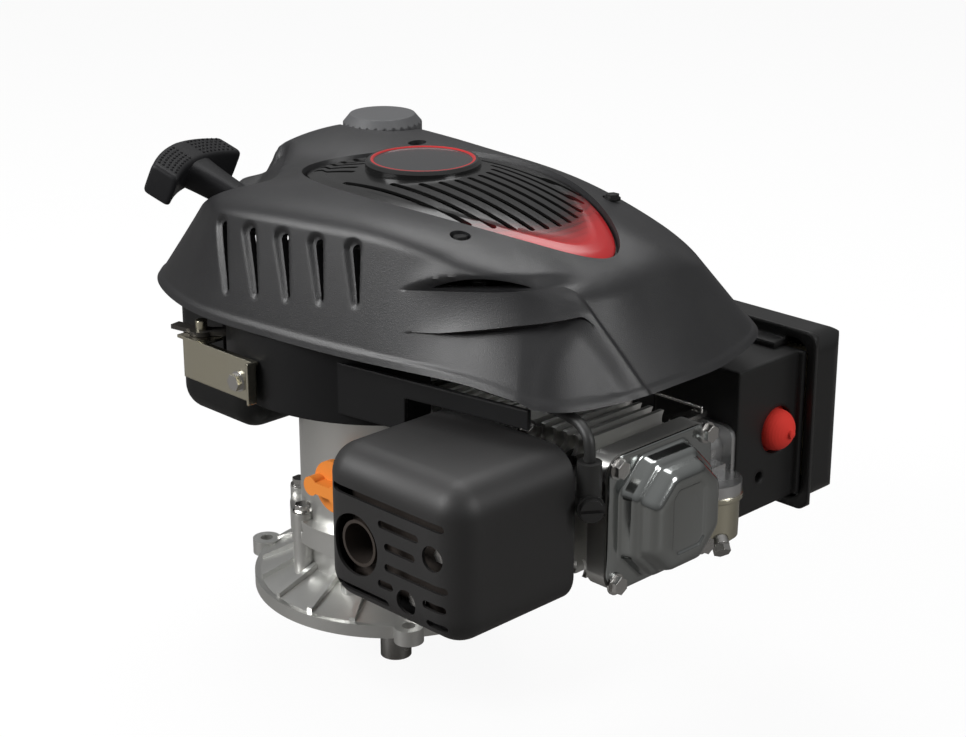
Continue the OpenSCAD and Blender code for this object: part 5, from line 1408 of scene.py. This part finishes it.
@dataclass
class Grip(SubAssembly):
    """Pull handle: a squared bar with dotted pads, swept back at its ends, on a flared stem."""

    root: Point = (-100.0, -45.0, 262.0)
    turn: float = 200.4
    tilt: float = 65.9
    stem: float = 36.0
    half: float = 42.0
    thick: float = 12.2
    deep: float = 11.6
    taper: float = 0.06
    rise: float = 14.0
    bow: float = 10.0
    straight: float = 0.94
    end_shrink: float = 0.26
    bar_power: float = 7.0
    stem_power: float = 3.2
    stem_wide: Pair = (9.0, 1.6)
    stem_deep: Point = (9.0, 2.5, 5.0)
    sides: int = 48
    dot: float = 1.05
    pads: tuple[Pair, ...] = ((-36.0, -9.0), (9.0, 36.0))

    def _frame(self) -> Matrix:
        """Handle axes: Y along the bar, Z out along the rope."""
        return (Matrix.Translation(Vector(self.root)) @ Matrix.Rotation(math.radians(self.turn), 4, "Z")
                @ Matrix.Rotation(math.radians(self.tilt), 4, "Y"))

    @staticmethod
    def _square(a: float, power: float) -> Pair:
        """Point of a squared circle at angle a."""
        c, s = math.cos(a), math.sin(a)
        return (math.copysign(abs(c) ** (2 / power), c), math.copysign(abs(s) ** (2 / power), s))

    def _sweep(self, y: float) -> Pair:
        """How slim the bar is at y, and how far out along the rope it lies."""
        share = abs(y) / self.half
        return 1 - self.taper * share, self.stem + self.rise - self.bow * share ** 2

    def _bar_at(self, y: float, a: float) -> Vector:
        """Point on the bar's skin at y, at angle a from the outer face."""
        slim, out = self._sweep(y)
        x, z = self._square(a, self.bar_power)
        return Vector((self.thick * slim * -z, y, out + self.deep * slim * x))

    def _loft(self, build: Mesh, rings: list[list[Vector]]) -> None:
        """Close a row of rings into a skin."""
        frame_of = self._frame()
        rows = [[build.verts.new((frame_of @ p) * MM) for p in ring] for ring in rings]
        join_rings(build, rows)

    def build(self) -> None:
        """Mould the bar, the stem and the dots."""
        build = bmesh.new()
        turns = [2 * math.pi * k / self.sides for k in range(self.sides)]
        rings = [[self._bar_at(self.half * k / 24 * self.straight, a) for a in turns] for k in range(-24, 25)]
        for side in (-1, 1):
            end = [self._bar_at(side * self.half * self.straight, a) for a in turns]
            middle = sum(end, Vector()) / len(end)
            caps = []
            for k in range(1, 6):
                t = math.pi / 2 * k / 5
                shrink = 1 - self.end_shrink * (1 - math.cos(t))
                ring = [middle + (p - middle) * shrink for p in end]
                y = side * self.half * (self.straight + (1 - self.straight) * math.sin(t))
                caps.append([Vector((p.x, y, p.z)) for p in ring])
            rings = caps[::-1] + rings if side < 0 else rings + caps
        self._loft(build, rings)
        stem = []
        (wide, wider), (deep, deeper, flare) = self.stem_wide, self.stem_deep
        for t in (k / 12 for k in range(13)):
            across, along = wide + wider * t, deep + deeper * t + flare * t ** 3
            stem.append([Vector((x * across, y * along, 0.3 + (self.stem + 8) * t))
                         for x, y in (self._square(a, self.stem_power) for a in turns)])
        self._loft(build, stem)
        for low, high in self.pads:
            for i, j in product(range(8), range(5)):
                y = low + (high - low) * i / 7
                slim, out = self._sweep(y)
                spot = Vector((-self.thick * slim, y, out + self.deep * (0.3 * j - 0.6)))
                bmesh.ops.create_icosphere(build, subdivisions=1, radius=self.dot * MM,
                                           matrix=Matrix.Translation((self._frame() @ spot) * MM))
        bmesh.ops.recalc_face_normals(build, faces=build.faces)
        grip = mesh_piece("pull_grip", build, Finishes.grip)
        grip.data.set_sharp_from_angle(angle=math.radians(40))
        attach(grip, "handle")
        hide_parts("starter_handle")


@dataclass
class Studio:
    """Pale floor, soft lamps and the camera at the photograph's angle."""

    floor_z: float = -0.0622
    eye: Point = (0.9834, -0.8898, 0.6335)
    look: Point = (-0.667, 0.663, -0.340)
    lens: float = 77.1
    sensor: float = 36.0
    floor_half: float = 20.0
    lamps: tuple[tuple[Point, float, float], ...] = (
        ((-0.9, -1.9, 1.5), 1.1, 60.0), ((-0.5, 0.6, 2.1), 1.5, 28.0), ((2.3, 0.5, 1.3), 0.8, 26.0))
    target: Point = (0.04, 0.0, 0.15)
    floor: RGB = (0.88, 0.88, 0.88)
    ground: RGB = (0.14, 0.135, 0.13)
    glow: float = 0.92

    def build(self) -> None:
        """Make the floor, the lamps, the world and the camera."""
        scene = bpy.context.scene
        scene.view_settings.view_transform = "Standard"
        build = bmesh.new()
        bmesh.ops.create_grid(build, x_segments=2, y_segments=2, size=self.floor_half)
        bmesh.ops.translate(build, verts=build.verts, vec=(0, 0, self.floor_z))
        pale = Finish("pale_floor", (0.86, 0.86, 0.86), (0.88, 0.88, 0.88), 0.7, grain_depth=0.0)
        floor = mesh_piece("floor", build, pale)
        self._lift(floor.data.materials[0])
        for i, (place, size, power) in enumerate(self.lamps):
            data = bpy.data.lights.new(f"softbox_{i}", "AREA")
            data.size = size
            data.energy = power
            lamp = bpy.data.objects.new(f"softbox_{i}", data)
            lamp.location = place
            lamp.rotation_euler = (Vector(self.target) - Vector(place)).to_track_quat("-Z", "Y").to_euler()
            scene.collection.objects.link(lamp)
        world = bpy.data.worlds.new("studio")
        world.use_nodes = True
        self._sky(world)
        scene.world = world
        data = bpy.data.cameras.new("camera")
        data.lens = self.lens
        data.sensor_width = self.sensor
        data.clip_start = 0.05
        camera = bpy.data.objects.new("camera", data)
        camera.location = self.eye
        camera.rotation_euler = Vector(self.look).to_track_quat("-Z", "Y").to_euler()
        scene.collection.objects.link(camera)
        scene.camera = camera

    @staticmethod
    def _sky(world: bpy.types.World) -> None:
        """White to the camera; a grey room, paler overhead, to everything else.

        Args:
            world: the world to set up.
        """
        wires = Wiring(world.node_tree)
        way = wires.add("TexCoord").outputs["Generated"]
        up = wires.add("SeparateXYZ", {"Vector": way}).outputs["Z"]
        room = wires.span(up, -0.1, 0.9, 0.10, 0.40)
        seen = wires.add("LightPath").outputs["Is Camera Ray"]
        level = wires.add("Mix", {"Factor": seen, "A": room, "B": 1.0}).outputs["Result"]
        sky = wires.nodes["Background"]
        wires.feed(sky, "Strength", level)
        wires.feed(sky, "Color", (1.0, 1.0, 1.0, 1.0))

    def _lift(self, material: Material) -> None:
        """Let the floor read near white to the camera while it keeps the shadow.

        Args:
            material: the floor's material.
        """
        wires = Wiring(material.node_tree)
        shader = wires.nodes["Principled BSDF"]
        seen = wires.add("LightPath").outputs["Is Camera Ray"]
        ground = wires.mix("ground", seen, self.ground, self.floor)
        wires.feed(shader, "Base Color", ground)
        glow = wires.add("Emission", {"Color": (1.0, 1.0, 1.0, 1.0)}).outputs["Emission"]
        share = wires.math("MULTIPLY", seen, self.glow)
        mix = wires.add("MixShader", {"Fac": share, 1: shader.outputs["BSDF"], 2: glow})
        wires.feed(wires.nodes["Material Output"], "Surface", mix.outputs["Shader"])


def main() -> None:
    """Build the studio and each sub-assembly in turn."""
    logging.basicConfig(level=logging.INFO, format="%(name)s: %(message)s")
    Studio().build()
    for kind in (Crankcase, ValveCover, Ignition, Exhaust, Tank, Intake, Blower, Shroud, Grille, Starter, Grip):
        part = kind()
        part.build()
        part.dress()
        LOG.info("%s built and dressed", kind.__name__)


if __name__ == "__main__":
    main()
